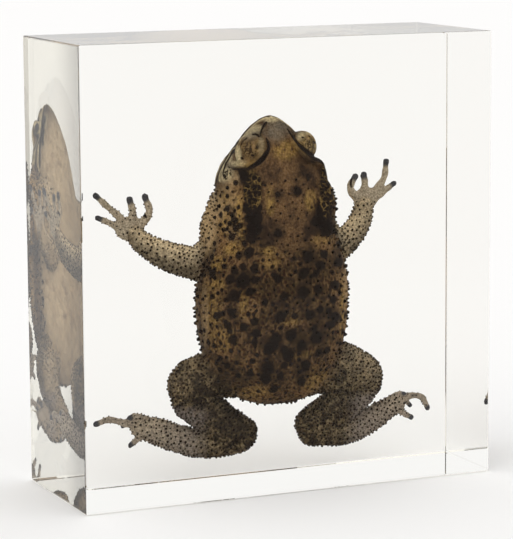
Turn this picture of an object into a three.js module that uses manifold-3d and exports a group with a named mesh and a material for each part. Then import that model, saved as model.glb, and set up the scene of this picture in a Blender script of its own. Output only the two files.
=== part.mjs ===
// A toad cast in a clear resin block, which stands on its lower edge.
//
// Millimetres. X runs to the right across the face that shows the toad's back, Y runs from that face to
// the rear face, and Z is up. The origin is the middle of the underside. The toad hangs head up with its
// back to the front (-Y), and its belly, palms and soles towards the rear face. The resin is one casting
// in the real thing; here it is parted at a plane into two halves, each with its half of the pocket that
// holds the toad.

import * as THREE from "three";
import { mergeVertices } from "three/addons/utils/BufferGeometryUtils.js";
import Module from "manifold-3d";

const wasm = await Module();
wasm.setup();

// Driving dimensions
const BLOCK_WIDTH = 95;
const BLOCK_HEIGHT = 97.5;
const BLOCK_THICKNESS = 35;
const PARTING_Y = 2.5; // the level at which the trunk is widest
const EDGE_BREAK = 0.4; // the small chamfer that polishing leaves along the block's edges

// How deep the palms and each foot's sole lie
const HAND_Y = 12.5;
const LEFT_SOLE_Y = 9.8;
const RIGHT_SOLE_Y = 7.4;
const SOLE_BEHIND = 0.3; // the middle of a palm or sole behind the digits that leave it

const SNOUT_RISE = 0.4; // the tips of the trunk, past its first and last cross-sections
const VENT_DROP = 0.5;
const TRUNK_ROUNDNESS = 0.88; // 1 for elliptical cross-sections, less for squarer ones

const WART_HEIGHT = 0.5;
const WART_SIDES = 4;
const WART_REACH = 1.5; // how far out warts are looked for, over the line's own radius
const WART_JITTER = { along: 2, around: 0.6 }; // in steps between neighbours
const BACK_WART = { least: 0.6, most: 1.1, spacing: 6.6, arc: Math.PI * 1.15 };
const LIMB_WART = { least: 0.5, most: 0.6, spacing: 9.0, arc: Math.PI * 1.1 };
const SKIN_SEED = 41;

// The warts of the back sit round this line, inside the trunk, which is about this thick.
const BACK_LINE = { from: [1.0, 2, 19], to: [0.2, 2, 66], radius: 15 };

// The crown, and a strip along the middle of the neck, carry no large warts.
const CROWN_Z = 68;
const NECK = { fromZ: 54, beyondY: -8.5, middleX: 1, halfWidth: 7 };

const POCKET_GAP = 0.95; // between the tallest wart and the pocket's wall, before its facets cut into it
const POCKET_GROW = WART_HEIGHT + POCKET_GAP;

// How finely each form is faceted. The pocket's wall is plainer than the toad.
const TOAD_FACETS = {
  trunk: { sides: 18, everySection: 1 },
  limb: { sides: 8, steps: 4 },
  digit: { sides: 5, steps: 3 },
  palm: { across: 8, down: 3 },
  dome: { across: 10, down: 6 },
  ridge: { sides: 5, steps: 6 },
};
const POCKET_FACETS = {
  trunk: { sides: 14, everySection: 2 },
  limb: { sides: 7, steps: 3 },
  digit: { sides: 4, steps: 2, pointed: true },
  palm: { across: 7, down: 3 },
  dome: { across: 7, down: 4 },
  ridge: { sides: 4, steps: 4, pointed: true },
};

// Cross-sections of the head and trunk from the snout down to the vent. Each has its height, the place of
// its middle, its half width, and how far it reaches towards the back of the toad and towards its belly.
const TRUNK = [
  { z: 80.1, x: -1.5, half: 1.5, back: -4.4, belly: -1.8 },
  { z: 79.3, x: -1.6, half: 3.2, back: -5.2, belly: -0.6 },
  { z: 77.8, x: -1.6, half: 5.0, back: -6.0, belly: 1.0 },
  { z: 75.8, x: -1.5, half: 7.0, back: -6.8, belly: 2.3 },
  { z: 73.2, x: -1.3, half: 9.1, back: -7.5, belly: 3.6 },
  { z: 70.4, x: -1.2, half: 11.0, back: -8.3, belly: 4.8 },
  { z: 67.2, x: -1.1, half: 12.3, back: -8.9, belly: 5.8 },
  { z: 63.5, x: -0.6, half: 12.6, back: -9.6, belly: 7.2 },
  { z: 59.5, x: -0.4, half: 13.3, back: -10.2, belly: 8.9 },
  { z: 55.0, x: -0.3, half: 14.4, back: -10.7, belly: 10.6 },
  { z: 50.0, x: -0.2, half: 16.1, back: -11.1, belly: 12.2 },
  { z: 45.0, x: -0.2, half: 17.4, back: -11.3, belly: 13.2 },
  { z: 40.0, x: -0.2, half: 17.7, back: -11.2, belly: 13.6 },
  { z: 35.0, x: -0.1, half: 17.4, back: -10.8, belly: 13.6 },
  { z: 30.5, x: 0.2, half: 16.5, back: -10.1, belly: 13.2 },
  { z: 26.5, x: 0.6, half: 15.0, back: -9.2, belly: 12.4 },
  { z: 23.4, x: 0.9, half: 13.2, back: -7.9, belly: 11.3 },
  { z: 20.8, x: 1.1, half: 11.0, back: -6.2, belly: 9.8 },
  { z: 18.8, x: 1.2, half: 8.2, back: -4.0, belly: 7.8 },
  { z: 17.6, x: 1.2, half: 4.4, back: -1.2, belly: 5.0 },
];

// Domes on the head and shoulders: the closed eyelids, and the two long glands behind them.
const DOMES = {
  leftEyelid: { at: [-6.6, -4.8, 73.2], size: [3.6, 3.6, 3.7] },
  rightEyelid: { at: [5.5, -4.7, 73.6], size: [3.5, 3.6, 3.4] },
  leftGland: { at: [-8.4, -5.6, 60.0], size: [3.4, 4.0, 7.0] },
  rightGland: { at: [9.8, -5.4, 60.0], size: [3.4, 4.0, 7.0] },
};

// Limbs, ridges and digits are tubes: points along the middle, the radius at each point, and for a
// flattened one its thickness from front to rear over its width.
const LIMBS = {
  leftUpperArm: {
    points: [[-8.5, 1.5, 60.5], [-11.4, 4.0, 56.5], [-14.8, 8.2, 48.8]],
    radii: [4.4, 4.0, 3.5],
  },
  leftForearm: {
    points: [[-15.0, 8.8, 48.3], [-21.5, 11.0, 50.3], [-26.5, 12.0, 53.0], [-29.0, HAND_Y, 55.6]],
    radii: [3.6, 3.0, 2.4, 1.9],
  },
  rightUpperArm: {
    points: [[9.5, 1.5, 60.0], [14.0, 4.5, 55.5], [17.8, 8.6, 49.6]],
    radii: [4.4, 4.2, 3.4],
  },
  rightForearm: {
    points: [[18.0, 9.2, 49.4], [21.6, 10.8, 51.6], [24.4, 12.0, 54.8], [25.6, HAND_Y, 58.6]],
    radii: [3.4, 3.1, 2.7, 2.1],
  },
  leftThigh: {
    points: [[-5.5, 3.0, 24.6], [-12.0, 4.4, 24.6], [-17.4, 6.4, 22.8]],
    radii: [5.4, 5.4, 6.0],
  },
  leftShank: {
    points: [[-17.1, 6.9, 19.6], [-11.7, 6.8, 14.3], [-6.1, 7.2, 10.6]],
    radii: [5.1, 4.2, 3.9],
  },
  leftFoot: {
    points: [
      [-6.2, 7.6, 9.5], [-13.6, 8.2, 8.9], [-20.2, 8.8, 10.5], [-25.7, 9.4, 12.8],
      [-29.1, LEFT_SOLE_Y, 13.5],
    ],
    radii: [3.4, 3.2, 3.0, 2.8, 1.9],
    flat: 0.85,
  },
  rightThigh: {
    points: [[8.0, 2.5, 24.2], [15.0, 4.0, 24.0], [22.0, 5.2, 21.0]],
    radii: [5.8, 6.0, 6.0],
  },
  rightShank: {
    points: [[20.8, 5.6, 17.9], [15.7, 5.8, 13.9], [10.6, 6.0, 11.2]],
    radii: [5.0, 4.4, 3.8],
  },
  rightFoot: {
    points: [
      [10.9, 6.0, 9.8], [17.4, 6.2, 9.0], [23.3, 6.6, 10.1], [28.7, 7.0, 12.5],
      [32.4, RIGHT_SOLE_Y, 13.7],
    ],
    radii: [3.4, 3.1, 3.1, 2.6, 1.8],
    flat: 0.85,
  },
};

// Palms and soles
const PALMS = {
  leftPalm: { at: [-29.8, HAND_Y + SOLE_BEHIND, 56.7], size: [3.4, 1.3, 2.6] },
  rightPalm: { at: [26.0, HAND_Y + SOLE_BEHIND, 60.0], size: [3.0, 1.3, 2.6] },
  leftSole: { at: [-27.9, LEFT_SOLE_Y + SOLE_BEHIND, 13.7], size: [2.9, 1.1, 2.3] },
  rightSole: { at: [31.4, RIGHT_SOLE_Y + SOLE_BEHIND, 13.8], size: [2.6, 1.1, 2.2] },
};

// Digits lie almost flat. Each has the depth at which it leaves its palm or sole, its places across and up
// from there to its tip, and its middle radius.
const DIGIT_RISE = 0.2; // how much deeper each point lies than the one before
const DIGIT_TAPER = { base: 1.15, tip: 0.85 }; // over the middle radius
const DIGITS = {
  leftFinger1: { depth: HAND_Y, path: [[-27.6, 57.0], [-25.3, 60.0], [-26.2, 63.3]], radius: 0.85 },
  leftFinger2: { depth: HAND_Y, path: [[-29.2, 57.5], [-29.1, 60.3], [-29.7, 62.9]], radius: 0.85 },
  leftFinger3: { depth: HAND_Y, path: [[-30.6, 58.0], [-34.2, 61.2], [-37.4, 64.2]], radius: 0.75 },
  leftFinger4: { depth: HAND_Y, path: [[-31.4, 56.6], [-34.4, 58.2], [-37.0, 59.4]], radius: 0.7 },
  rightFinger1: { depth: HAND_Y, path: [[23.8, 60.0], [22.2, 62.6], [23.5, 65.0]], radius: 0.85 },
  rightFinger2: { depth: HAND_Y, path: [[25.4, 61.0], [25.8, 63.3], [25.6, 65.3]], radius: 0.85 },
  rightFinger3: { depth: HAND_Y, path: [[27.6, 61.0], [30.4, 64.2], [31.1, 68.0]], radius: 0.8 },
  rightFinger4: { depth: HAND_Y, path: [[28.2, 59.8], [30.8, 61.6], [33.0, 63.0]], radius: 0.75 },
  leftToe1: { depth: LEFT_SOLE_Y + 1.0, path: [[-26.0, 14.8], [-27.8, 15.6], [-29.2, 15.2]], radius: 0.6 },
  leftToe2: { depth: LEFT_SOLE_Y, path: [[-26.7, 14.9], [-29.5, 16.3], [-31.1, 16.0]], radius: 0.6 },
  leftToe3: { depth: LEFT_SOLE_Y + 0.9, path: [[-27.5, 14.0], [-30.1, 14.4], [-32.5, 14.2]], radius: 0.65 },
  leftToe4: {
    depth: LEFT_SOLE_Y,
    path: [[-28.5, 13.9], [-32.3, 14.9], [-35.7, 15.9], [-38.7, 15.2]],
    radius: 0.75,
  },
  leftToe5: { depth: LEFT_SOLE_Y, path: [[-27.7, 12.3], [-29.9, 10.7], [-31.5, 9.5]], radius: 0.7 },
  rightToe1: { depth: RIGHT_SOLE_Y + 1.0, path: [[30.4, 14.7], [32.0, 15.4], [32.8, 14.9]], radius: 0.6 },
  rightToe2: { depth: RIGHT_SOLE_Y, path: [[30.6, 14.9], [32.4, 15.9], [33.8, 15.8]], radius: 0.65 },
  rightToe3: { depth: RIGHT_SOLE_Y + 0.9, path: [[31.8, 13.9], [34.4, 14.1], [35.8, 12.9]], radius: 0.65 },
  rightToe4: {
    depth: RIGHT_SOLE_Y,
    path: [[32.2, 14.1], [35.2, 15.2], [38.4, 14.7], [40.0, 12.1]],
    radius: 0.75,
  },
  rightToe5: { depth: RIGHT_SOLE_Y, path: [[31.8, 12.9], [34.0, 11.3], [35.8, 10.3]], radius: 0.7 },
};

// Bony ridges that run along the inner side of each eyelid and turn out behind it.
const RIDGES = {
  leftCrest: {
    points: [
      [-3.0, -5.6, 79.0], [-4.2, -6.6, 77.0], [-2.9, -7.9, 74.4], [-4.4, -8.5, 70.6], [-9.4, -6.2, 69.6],
    ],
    radii: [0.5, 0.6, 0.75, 0.75, 0.6],
  },
  rightCrest: {
    points: [[1.2, -5.8, 78.6], [1.9, -6.8, 76.8], [3.2, -8.0, 74.2], [5.6, -8.6, 71.4], [9.8, -6.6, 69.8]],
    radii: [0.5, 0.6, 0.75, 0.75, 0.6],
  },
};

// The round end of a tube: its last ring's radius, and how far out that ring lies, over the tube's radius.
const TUBE_END = { wide: 0.7, out: 0.65 };

const MERGE_WITHIN = 1e-4; // vertices this close are one

const vector = ([x, y, z]) => new THREE.Vector3(x, y, z);

// A small seeded generator, so that every build gives the same skin.
function randomFrom(seed) {
  let state = seed;
  return () => {
    state = (state + 0x6d2b79f5) | 0;
    let t = Math.imul(state ^ (state >>> 15), 1 | state);
    t = (t + Math.imul(t ^ (t >>> 7), 61 | t)) ^ t;
    return ((t ^ (t >>> 14)) >>> 0) / 2 ** 32;
  };
}

// A closed skin over a row of rings that have the same number of points, with a point at each end.
function skinOver(rings, firstTip, lastTip) {
  const sides = rings[0].length;
  const vertices = [...rings.flat(), firstTip, lastTip];
  const first = vertices.length - 2;
  const last = vertices.length - 1;
  const index = [];
  for (let r = 0; r + 1 < rings.length; r += 1) {
    for (let s = 0; s < sides; s += 1) {
      const a = r * sides + s;
      const b = r * sides + ((s + 1) % sides);
      index.push(a, b, b + sides, a, b + sides, a + sides);
    }
  }
  const lastRing = (rings.length - 1) * sides;
  for (let s = 0; s < sides; s += 1) {
    const next = (s + 1) % sides;
    index.push(first, next, s);
    index.push(last, lastRing + s, lastRing + next);
  }
  const geometry = new THREE.BufferGeometry().setFromPoints(vertices);
  geometry.setIndex(index);
  return geometry;
}

// Geometry to a solid, turned the right way out.
function solid(geometry) {
  const bare = geometry.clone();
  for (const name of ["normal", "uv"]) bare.deleteAttribute(name);
  const merged = mergeVertices(bare, MERGE_WITHIN);
  const vertProperties = Float32Array.from(merged.attributes.position.array);
  const triVerts = Uint32Array.from(merged.index.array);
  const made = new wasm.Manifold(new wasm.Mesh({ numProp: 3, vertProperties, triVerts }));
  if (made.volume() > 0) return made;
  for (let i = 0; i < triVerts.length; i += 3) {
    [triVerts[i + 1], triVerts[i + 2]] = [triVerts[i + 2], triVerts[i + 1]];
  }
  return new wasm.Manifold(new wasm.Mesh({ numProp: 3, vertProperties, triVerts }));
}

// A solid back to geometry.
function geometryOf(shape) {
  const mesh = shape.getMesh();
  const geometry = new THREE.BufferGeometry();
  geometry.setAttribute("position", new THREE.BufferAttribute(Float32Array.from(mesh.vertProperties), 3));
  geometry.setIndex(new THREE.BufferAttribute(Uint32Array.from(mesh.triVerts), 1));
  geometry.computeVertexNormals();
  return geometry;
}

const joined = (shapes) => shapes.reduce((all, one) => all.add(one));

const squarer = (value) => Math.sign(value) * Math.abs(value) ** TRUNK_ROUNDNESS;

// One ring of the trunk, a little squarer than an ellipse.
function trunkRing({ z, x, half, back, belly }, sides, grow) {
  const ring = [];
  const widest = Math.min(PARTING_Y, (back + belly) / 2);
  for (let s = 0; s < sides; s += 1) {
    const angle = (s / sides) * 2 * Math.PI;
    const across = squarer(Math.cos(angle));
    const depth = squarer(Math.sin(angle));
    const reach = depth < 0 ? widest - back : belly - widest;
    ring.push(new THREE.Vector3(x + across * (half + grow), widest + depth * (reach + grow), z));
  }
  return ring;
}

function trunk({ sides, everySection }, grow) {
  const top = TRUNK[0];
  const bottom = TRUNK[TRUNK.length - 1];
  const sections = TRUNK.filter((section, i) => i % everySection === 0 || section === bottom);
  const rings = sections.map((section) => trunkRing(section, sides, grow));
  rings[0].forEach((point) => (point.z += grow));
  rings[rings.length - 1].forEach((point) => (point.z -= grow));
  const middleY = ({ back, belly }) => (back + belly) / 2;
  const snout = new THREE.Vector3(top.x, middleY(top), top.z + SNOUT_RISE + grow);
  const vent = new THREE.Vector3(bottom.x, middleY(bottom), bottom.z - VENT_DROP - grow);
  return solid(skinOver(rings, snout, vent));
}

// A tube with round or pointed ends along a smooth line. Its radius runs evenly from point to point.
function tube({ points, radii, flat = 1 }, { sides, steps, pointed = false }, grow) {
  const curve = new THREE.CatmullRomCurve3(points.map(vector));
  const radiusAt = (t) => {
    const place = t * (radii.length - 1);
    const i = Math.min(Math.floor(place), radii.length - 2);
    return THREE.MathUtils.lerp(radii[i], radii[i + 1], place - i) + grow;
  };
  const frames = curve.computeFrenetFrames(steps, false);
  const ringAt = (i, radius, along) => {
    const centre = curve.getPoint(i / steps).addScaledVector(frames.tangents[i], along);
    return Array.from({ length: sides }, (_, s) => {
      const angle = (s / sides) * 2 * Math.PI;
      const offset = frames.normals[i].clone().multiplyScalar(Math.cos(angle) * radius);
      offset.addScaledVector(frames.binormals[i], Math.sin(angle) * radius);
      offset.y *= flat;
      return centre.clone().add(offset);
    });
  };
  const rings = [];
  const start = radiusAt(0);
  const end = radiusAt(1);
  if (!pointed) rings.push(ringAt(0, start * TUBE_END.wide, -start * TUBE_END.out));
  for (let i = 0; i <= steps; i += 1) rings.push(ringAt(i, radiusAt(i / steps), 0));
  if (!pointed) rings.push(ringAt(steps, end * TUBE_END.wide, end * TUBE_END.out));
  const firstTip = curve.getPoint(0).addScaledVector(frames.tangents[0], -start);
  const lastTip = curve.getPoint(1).addScaledVector(frames.tangents[steps], end);
  return solid(skinOver(rings, firstTip, lastTip));
}

function dome({ at, size }, { across, down }, grow) {
  const geometry = new THREE.SphereGeometry(1, across, down);
  geometry.scale(...size.map((half) => half + grow));
  geometry.translate(...at);
  return solid(geometry);
}

// A finger or toe, which thins out evenly.
function digit({ depth, path, radius }, facets, grow) {
  const points = path.map(([x, z], i) => [x, depth + DIGIT_RISE * i, z]);
  const taper = (place) => THREE.MathUtils.lerp(DIGIT_TAPER.base, DIGIT_TAPER.tip, place);
  const radii = points.map((_, i) => radius * taper(i / (points.length - 1)));
  return tube({ points, radii }, facets, grow);
}

// The toad without its warts, every part of it thicker by grow.
function toadForm(facets, grow) {
  return joined([
    trunk(facets.trunk, grow),
    ...Object.values(LIMBS).map((limb) => tube(limb, facets.limb, grow)),
    ...Object.values(DIGITS).map((one) => digit(one, facets.digit, grow)),
    ...Object.values(PALMS).map((palm) => dome(palm, facets.palm, grow)),
    ...Object.values(DOMES).map((one) => dome(one, facets.dome, grow)),
    ...Object.values(RIDGES).map((ridge) => tube(ridge, facets.ridge, grow)),
  ]);
}

// Directions in which warts stand round a line: stations along it, and at each an arc that faces front.
function wartRays(line, radius, { spacing, arc }, random) {
  const rays = [];
  const stations = Math.max(2, Math.round(line.getLength() / spacing));
  const around = Math.max(1, Math.round((arc * radius) / spacing));
  const onLine = (place) => THREE.MathUtils.clamp(place / stations, 0, 1);
  const jitter = (width) => width * (random() - 0.5);
  for (let i = 0; i <= stations; i += 1) {
    for (let k = 0; k <= around; k += 1) {
      const t = onLine(i + jitter(WART_JITTER.along));
      const tangent = line.getTangent(t);
      const front = new THREE.Vector3(0, -1, 0).addScaledVector(tangent, tangent.y).normalize();
      const stagger = (i % 2) / 2;
      const turn = ((k + stagger + jitter(WART_JITTER.around)) / around - 0.5) * arc;
      const direction = front.applyAxisAngle(tangent, turn);
      rays.push({ from: line.getPoint(t), direction, reach: radius * WART_REACH });
    }
  }
  return rays;
}

// A small blunt spine, half of which stands out of the skin.
function wart(point, normal, radius) {
  const geometry = new THREE.ConeGeometry(radius, WART_HEIGHT * 2, WART_SIDES);
  geometry.applyQuaternion(new THREE.Quaternion().setFromUnitVectors(new THREE.Vector3(0, 1, 0), normal));
  geometry.translate(point.x, point.y, point.z);
  return solid(geometry);
}

const isOnNeck = ({ x, y, z }) =>
  z > NECK.fromZ && y < NECK.beyondY && Math.abs(x - NECK.middleX) < NECK.halfWidth;

// The warts on the skin round one line.
function wartsRound(line, radius, size, skin, random) {
  const warts = [];
  const caster = new THREE.Raycaster();
  for (const { from, direction, reach } of wartRays(line, radius, size, random)) {
    caster.set(from.clone().addScaledVector(direction, BLOCK_WIDTH), direction.clone().negate());
    const [hit] = caster.intersectObject(skin);
    const thick = THREE.MathUtils.lerp(size.least, size.most, random());
    if (!hit || hit.point.distanceTo(from) > reach) continue;
    if (hit.point.z > CROWN_Z || isOnNeck(hit.point)) continue;
    warts.push(wart(hit.point, hit.face.normal, thick));
  }
  return warts;
}

function withWarts(form) {
  const random = randomFrom(SKIN_SEED);
  const skin = new THREE.Mesh(geometryOf(form));
  const spine = new THREE.LineCurve3(vector(BACK_LINE.from), vector(BACK_LINE.to));
  const warts = wartsRound(spine, BACK_LINE.radius, BACK_WART, skin, random);
  for (const { points, radii } of Object.values(LIMBS)) {
    const line = new THREE.CatmullRomCurve3(points.map(vector));
    warts.push(...wartsRound(line, radii[1], LIMB_WART, skin, random));
  }
  return joined([form, ...warts]);
}

// The block with its edges broken: the overlap of three boxes' outlines, each extruded along one axis.
function brokenBlock() {
  const outline = (wide, high) => {
    const w = wide / 2;
    const h = high / 2;
    const e = EDGE_BREAK;
    const corners = [
      [w - e, -h], [w, e - h], [w, h - e], [w - e, h],
      [e - w, h], [-w, h - e], [-w, e - h], [e - w, -h],
    ];
    return new THREE.Shape(corners.map(([x, y]) => new THREE.Vector2(x, y)));
  };
  const bar = (wide, high, length) => {
    const geometry = new THREE.ExtrudeGeometry(outline(wide, high), { depth: length, bevelEnabled: false });
    return geometry.translate(0, 0, -length / 2);
  };
  const alongX = bar(BLOCK_HEIGHT, BLOCK_THICKNESS, BLOCK_WIDTH).rotateY(Math.PI / 2);
  const alongY = bar(BLOCK_WIDTH, BLOCK_HEIGHT, BLOCK_THICKNESS).rotateX(Math.PI / 2);
  const alongZ = bar(BLOCK_WIDTH, BLOCK_THICKNESS, BLOCK_HEIGHT);
  const bars = [alongX, alongY, alongZ].map((one) => solid(one.translate(0, 0, BLOCK_HEIGHT / 2)));
  return bars.reduce((block, one) => block.intersect(one));
}

// The half of the block on one side of the parting plane.
function blockHalf(block, fromY, toY) {
  const keep = new THREE.BoxGeometry(BLOCK_WIDTH * 2, toY - fromY, BLOCK_HEIGHT * 2);
  keep.translate(0, (fromY + toY) / 2, BLOCK_HEIGHT / 2);
  return block.intersect(solid(keep));
}

const skinMaterial = new THREE.MeshStandardMaterial({ color: 0x6b5433, roughness: 0.75, metalness: 0 });
const resinMaterial = new THREE.MeshStandardMaterial({
  color: 0xf2efe4,
  roughness: 0.05,
  metalness: 0,
  transparent: true,
  opacity: 0.25,
});

function named(name, shape, material) {
  const mesh = new THREE.Mesh(geometryOf(shape), material);
  mesh.name = name;
  return mesh;
}

const toad = withWarts(toadForm(TOAD_FACETS, 0));
const pocket = toadForm(POCKET_FACETS, POCKET_GROW);
const block = brokenBlock();
const front = blockHalf(block, -BLOCK_THICKNESS, PARTING_Y).subtract(pocket);
const rear = blockHalf(block, PARTING_Y, BLOCK_THICKNESS).subtract(pocket);

const group = new THREE.Group();
group.add(named("toad", toad, skinMaterial));
group.add(named("resin_front", front, resinMaterial));
group.add(named("resin_rear", rear, resinMaterial));

export default group;
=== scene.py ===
"""A toad cast in a clear resin block: its looks.

Everything is in metres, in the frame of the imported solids: X runs to the right across the face that
shows the toad's back, Y from that face to the rear face, and Z up from the underside. The toad's own
measures are given in millimetres, as they are taken on a specimen, and are scaled once when its mesh
is made.
"""

from __future__ import annotations

import logging
import math
from dataclasses import astuple, dataclass, field
from enum import Enum

import bmesh
import bpy
import numpy as np
from mathutils import Matrix, Vector, noise
from mathutils.kdtree import KDTree

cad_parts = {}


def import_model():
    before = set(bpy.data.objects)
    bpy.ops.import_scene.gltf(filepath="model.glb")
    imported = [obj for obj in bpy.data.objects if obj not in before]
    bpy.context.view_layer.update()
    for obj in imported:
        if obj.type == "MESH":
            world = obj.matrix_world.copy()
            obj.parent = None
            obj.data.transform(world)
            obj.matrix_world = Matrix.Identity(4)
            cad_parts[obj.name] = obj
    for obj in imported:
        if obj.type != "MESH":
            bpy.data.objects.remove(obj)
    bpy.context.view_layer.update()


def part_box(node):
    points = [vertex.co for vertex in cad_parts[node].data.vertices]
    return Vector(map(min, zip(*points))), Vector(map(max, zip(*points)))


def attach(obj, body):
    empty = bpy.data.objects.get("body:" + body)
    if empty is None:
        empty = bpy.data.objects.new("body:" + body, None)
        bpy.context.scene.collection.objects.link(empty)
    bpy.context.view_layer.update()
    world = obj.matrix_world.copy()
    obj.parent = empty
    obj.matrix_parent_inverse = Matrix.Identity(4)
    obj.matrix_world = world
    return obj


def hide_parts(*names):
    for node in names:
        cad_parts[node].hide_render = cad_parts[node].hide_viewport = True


MM = 0.001
LOG = logging.getLogger("toad_block")

Point = tuple[float, float, float]
Colour = tuple[float, float, float]
Socket = bpy.types.NodeSocket
Inputs = dict[str | int, object]


@dataclass(frozen=True)
class Section:
    """A cross-section of the head and trunk at one height, in millimetres."""

    z: float
    x: float
    half: float
    back: float
    belly: float


@dataclass(frozen=True)
class Tube:
    """A limb, digit or ridge: points along its middle and the radius at each, in millimetres.

    The skin's paleness runs evenly from 0 at dark places to 1 at pale ones.
    """

    name: str
    points: tuple[Point, ...]
    radii: tuple[float, ...]
    flat: float = 1.0
    knuckles: int = 0
    paleness: tuple[float, float] = (0.0, 0.0)


@dataclass(frozen=True)
class Dome:
    """A rounded lump: its middle and half sizes, in millimetres."""

    name: str
    at: Point
    size: Point


@dataclass(frozen=True)
class Spot:
    """A dark round mark on the back: its place seen from the front, its radius and its strength."""

    x: float
    z: float
    radius: float
    strength: float = 1.0


class Tone(Enum):
    """The tones that soft patches are laid in."""

    LIGHT = "light"
    GOLD = "gold"
    TAN = "tan"
    PALE = "pale"
    GREY = "grey"
    FLECK = "fleck"
    NET = "net"
    SHADE = "shade"


@dataclass(frozen=True)
class Patch:
    """A soft-edged patch of tone: its middle and half sizes seen from the front, and its strength."""

    tone: Tone
    x: float
    z: float
    wide: float
    high: float
    strength: float


@dataclass(frozen=True)
class Line:
    """A line: its path seen from the front, its half width at each point, and its strength."""

    path: tuple[tuple[float, float], ...]
    widths: tuple[float, ...]
    strength: float = 1.0


class Region(Enum):
    """The regions of skin that have a colour and texture of their own."""

    TRUNK = "trunk"
    LIMB = "limb"
    HAND = "hand"


# How deep the palms and the soles lie, in millimetres.
HAND_Y = 12.5
LEFT_SOLE_Y = 9.8
RIGHT_SOLE_Y = 7.4

# How a digit leans back at each joint, tapers, and swells at its knuckles and tip, and a toe's paleness.
DIGIT_LEAN = 0.2
DIGIT_ROOT = 1.15
DIGIT_TAPER = 0.3
KNUCKLE_SWELL = 0.10
TIP_SWELL = 0.12
TOE_PALENESS = 0.55

# The angles at which a tube's round end has its rings, from the tip inwards.
CAP_ANGLES = (1.25, 0.9, 0.5)

# Marks are placed as they show from the front, at this depth, along lines of sight with these slopes.
BACK_Y = -9.5
VIEW_SLOPE_X = 0.268
VIEW_SLOPE_Z = -0.104

# Distances that mean nowhere near: in millimetres, and in half widths of a line.
FAR = 1e9
OFF_LINE = 9.0

SECTIONS = tuple(
    Section(*row)
    for row in (
        (80.1, -1.5, 1.5, -4.4, -1.8), (79.3, -1.4, 3, -5.2, -0.6), (77.8, -1.4, 4.7, -6, 1),
        (75.8, -1.3, 6.7, -6.8, 2.3), (73.2, -1.1, 8.85, -7.5, 3.6), (70.4, -1.2, 11, -8.3, 4.8),
        (67.2, -1.1, 12.3, -8.9, 5.8), (63.5, -0.6, 12.6, -9.6, 7.2), (59.5, -0.4, 13.3, -10.2, 8.9),
        (55, -0.3, 14.4, -10.7, 10.6), (50, 0.1, 15.9, -11.1, 12.2), (45, 0.15, 17.3, -11.3, 13.2),
        (40, 0.15, 17.6, -11.2, 13.6), (35, 0.2, 17.3, -10.8, 13.6), (30.5, 0.4, 16.5, -10.1, 13.2),
        (26.5, 0.6, 15, -9.2, 12.4), (23.4, 0.9, 13.2, -7.9, 11.3), (20.8, 1.1, 11, -6.2, 9.8),
        (18.8, 1.2, 8.2, -4, 7.8), (17.6, 1.2, 4.4, -1.2, 5),
    )
)

DOMES = (
    Dome("left eyelid", (-6.6, -4.8, 73.2), (3.6, 3.6, 3.7)),
    Dome("right eyelid", (5.5, -4.7, 73.6), (3.5, 3.6, 3.4)),
    Dome("left gland", (-8.4, -5.6, 60.0), (3.4, 4.0, 7.0)),
    Dome("right gland", (9.8, -5.4, 60.0), (3.4, 4.0, 7.0)),
)

LIMBS = (
    Tube("left upper arm", ((-9.6, 1.5, 61.6), (-11.6, 4.2, 56.8), (-12.2, 6.2, 52.4), (-14.8, 8.2, 48.8)),
         (4.6, 3.9, 3.4, 3.4), paleness=(0.75, 0.75)),
    Tube("left forearm", ((-15, 8.8, 48.3), (-21.5, 11, 50.3), (-26.5, 12, 53), (-29, HAND_Y, 55.6)),
         (3.6, 3, 2.4, 1.9), paleness=(0.75, 1)),
    Tube("right upper arm", ((8.6, 2, 58), (12.9, 5, 54.2), (17.6, 8.6, 49.8)),
         (3.6, 3.7, 3.2), paleness=(0.3, 0.7)),
    Tube("right forearm", ((17.8, 9.2, 49.7), (21.4, 10.8, 51.9), (24.3, 12, 54.9), (25.6, HAND_Y, 58.6)),
         (3.2, 2.95, 2.65, 2.1), paleness=(0.62, 0.84)),
    Tube("left thigh", ((-5.5, 3, 24.6), (-12, 4.4, 24.6), (-17.1, 6.4, 22.4)),
         (5.4, 5.4, 5.8), paleness=(0, 0.08)),
    Tube("left shank", ((-17.1, 6.9, 19.6), (-11.7, 6.8, 14.3), (-6.1, 7.2, 10.6)),
         (5.1, 4.2, 3.9), paleness=(0.08, 0.05)),
    Tube("left foot", ((-6.2, 7.6, 9.5), (-13.6, 8.2, 8.7), (-20.2, 8.8, 10.5), (-25.7, 9.4, 12.8),
                       (-29.1, LEFT_SOLE_Y, 13.5)),
         (3.4, 3, 2.95, 2.8, 1.9), flat=0.85, paleness=(0.02, 0.8)),
    Tube("right thigh", ((8, 2.5, 24.2), (15, 4, 24), (21.8, 5.2, 20.7)),
         (5.8, 5.9, 5.8), paleness=(0.1, 0.3)),
    Tube("right shank", ((20.8, 5.6, 17.9), (15.7, 5.8, 13.9), (10.6, 6, 11.2)),
         (5, 4.4, 3.8), paleness=(0.1, 0.05)),
    Tube("right foot", ((10.9, 6, 9.8), (17.4, 6.2, 8.7), (23.3, 6.6, 9.9), (28.7, 7, 12.5),
                        (32.4, RIGHT_SOLE_Y, 13.7)),
         (3.4, 2.85, 2.9, 2.6, 1.8), flat=0.85, paleness=(0.05, 0.62)),
)

PALMS = (
    Dome("left palm", (-29.8, HAND_Y + 0.3, 56.7), (3.4, 1.3, 2.6)),
    Dome("right palm", (26.0, HAND_Y + 0.3, 60.0), (3.0, 1.3, 2.6)),
    Dome("left sole", (-27.9, LEFT_SOLE_Y + 0.2, 13.7), (2.9, 1.1, 2.3)),
    Dome("right sole", (31.4, RIGHT_SOLE_Y + 0.2, 13.8), (2.6, 1.1, 2.2)),
)


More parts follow.
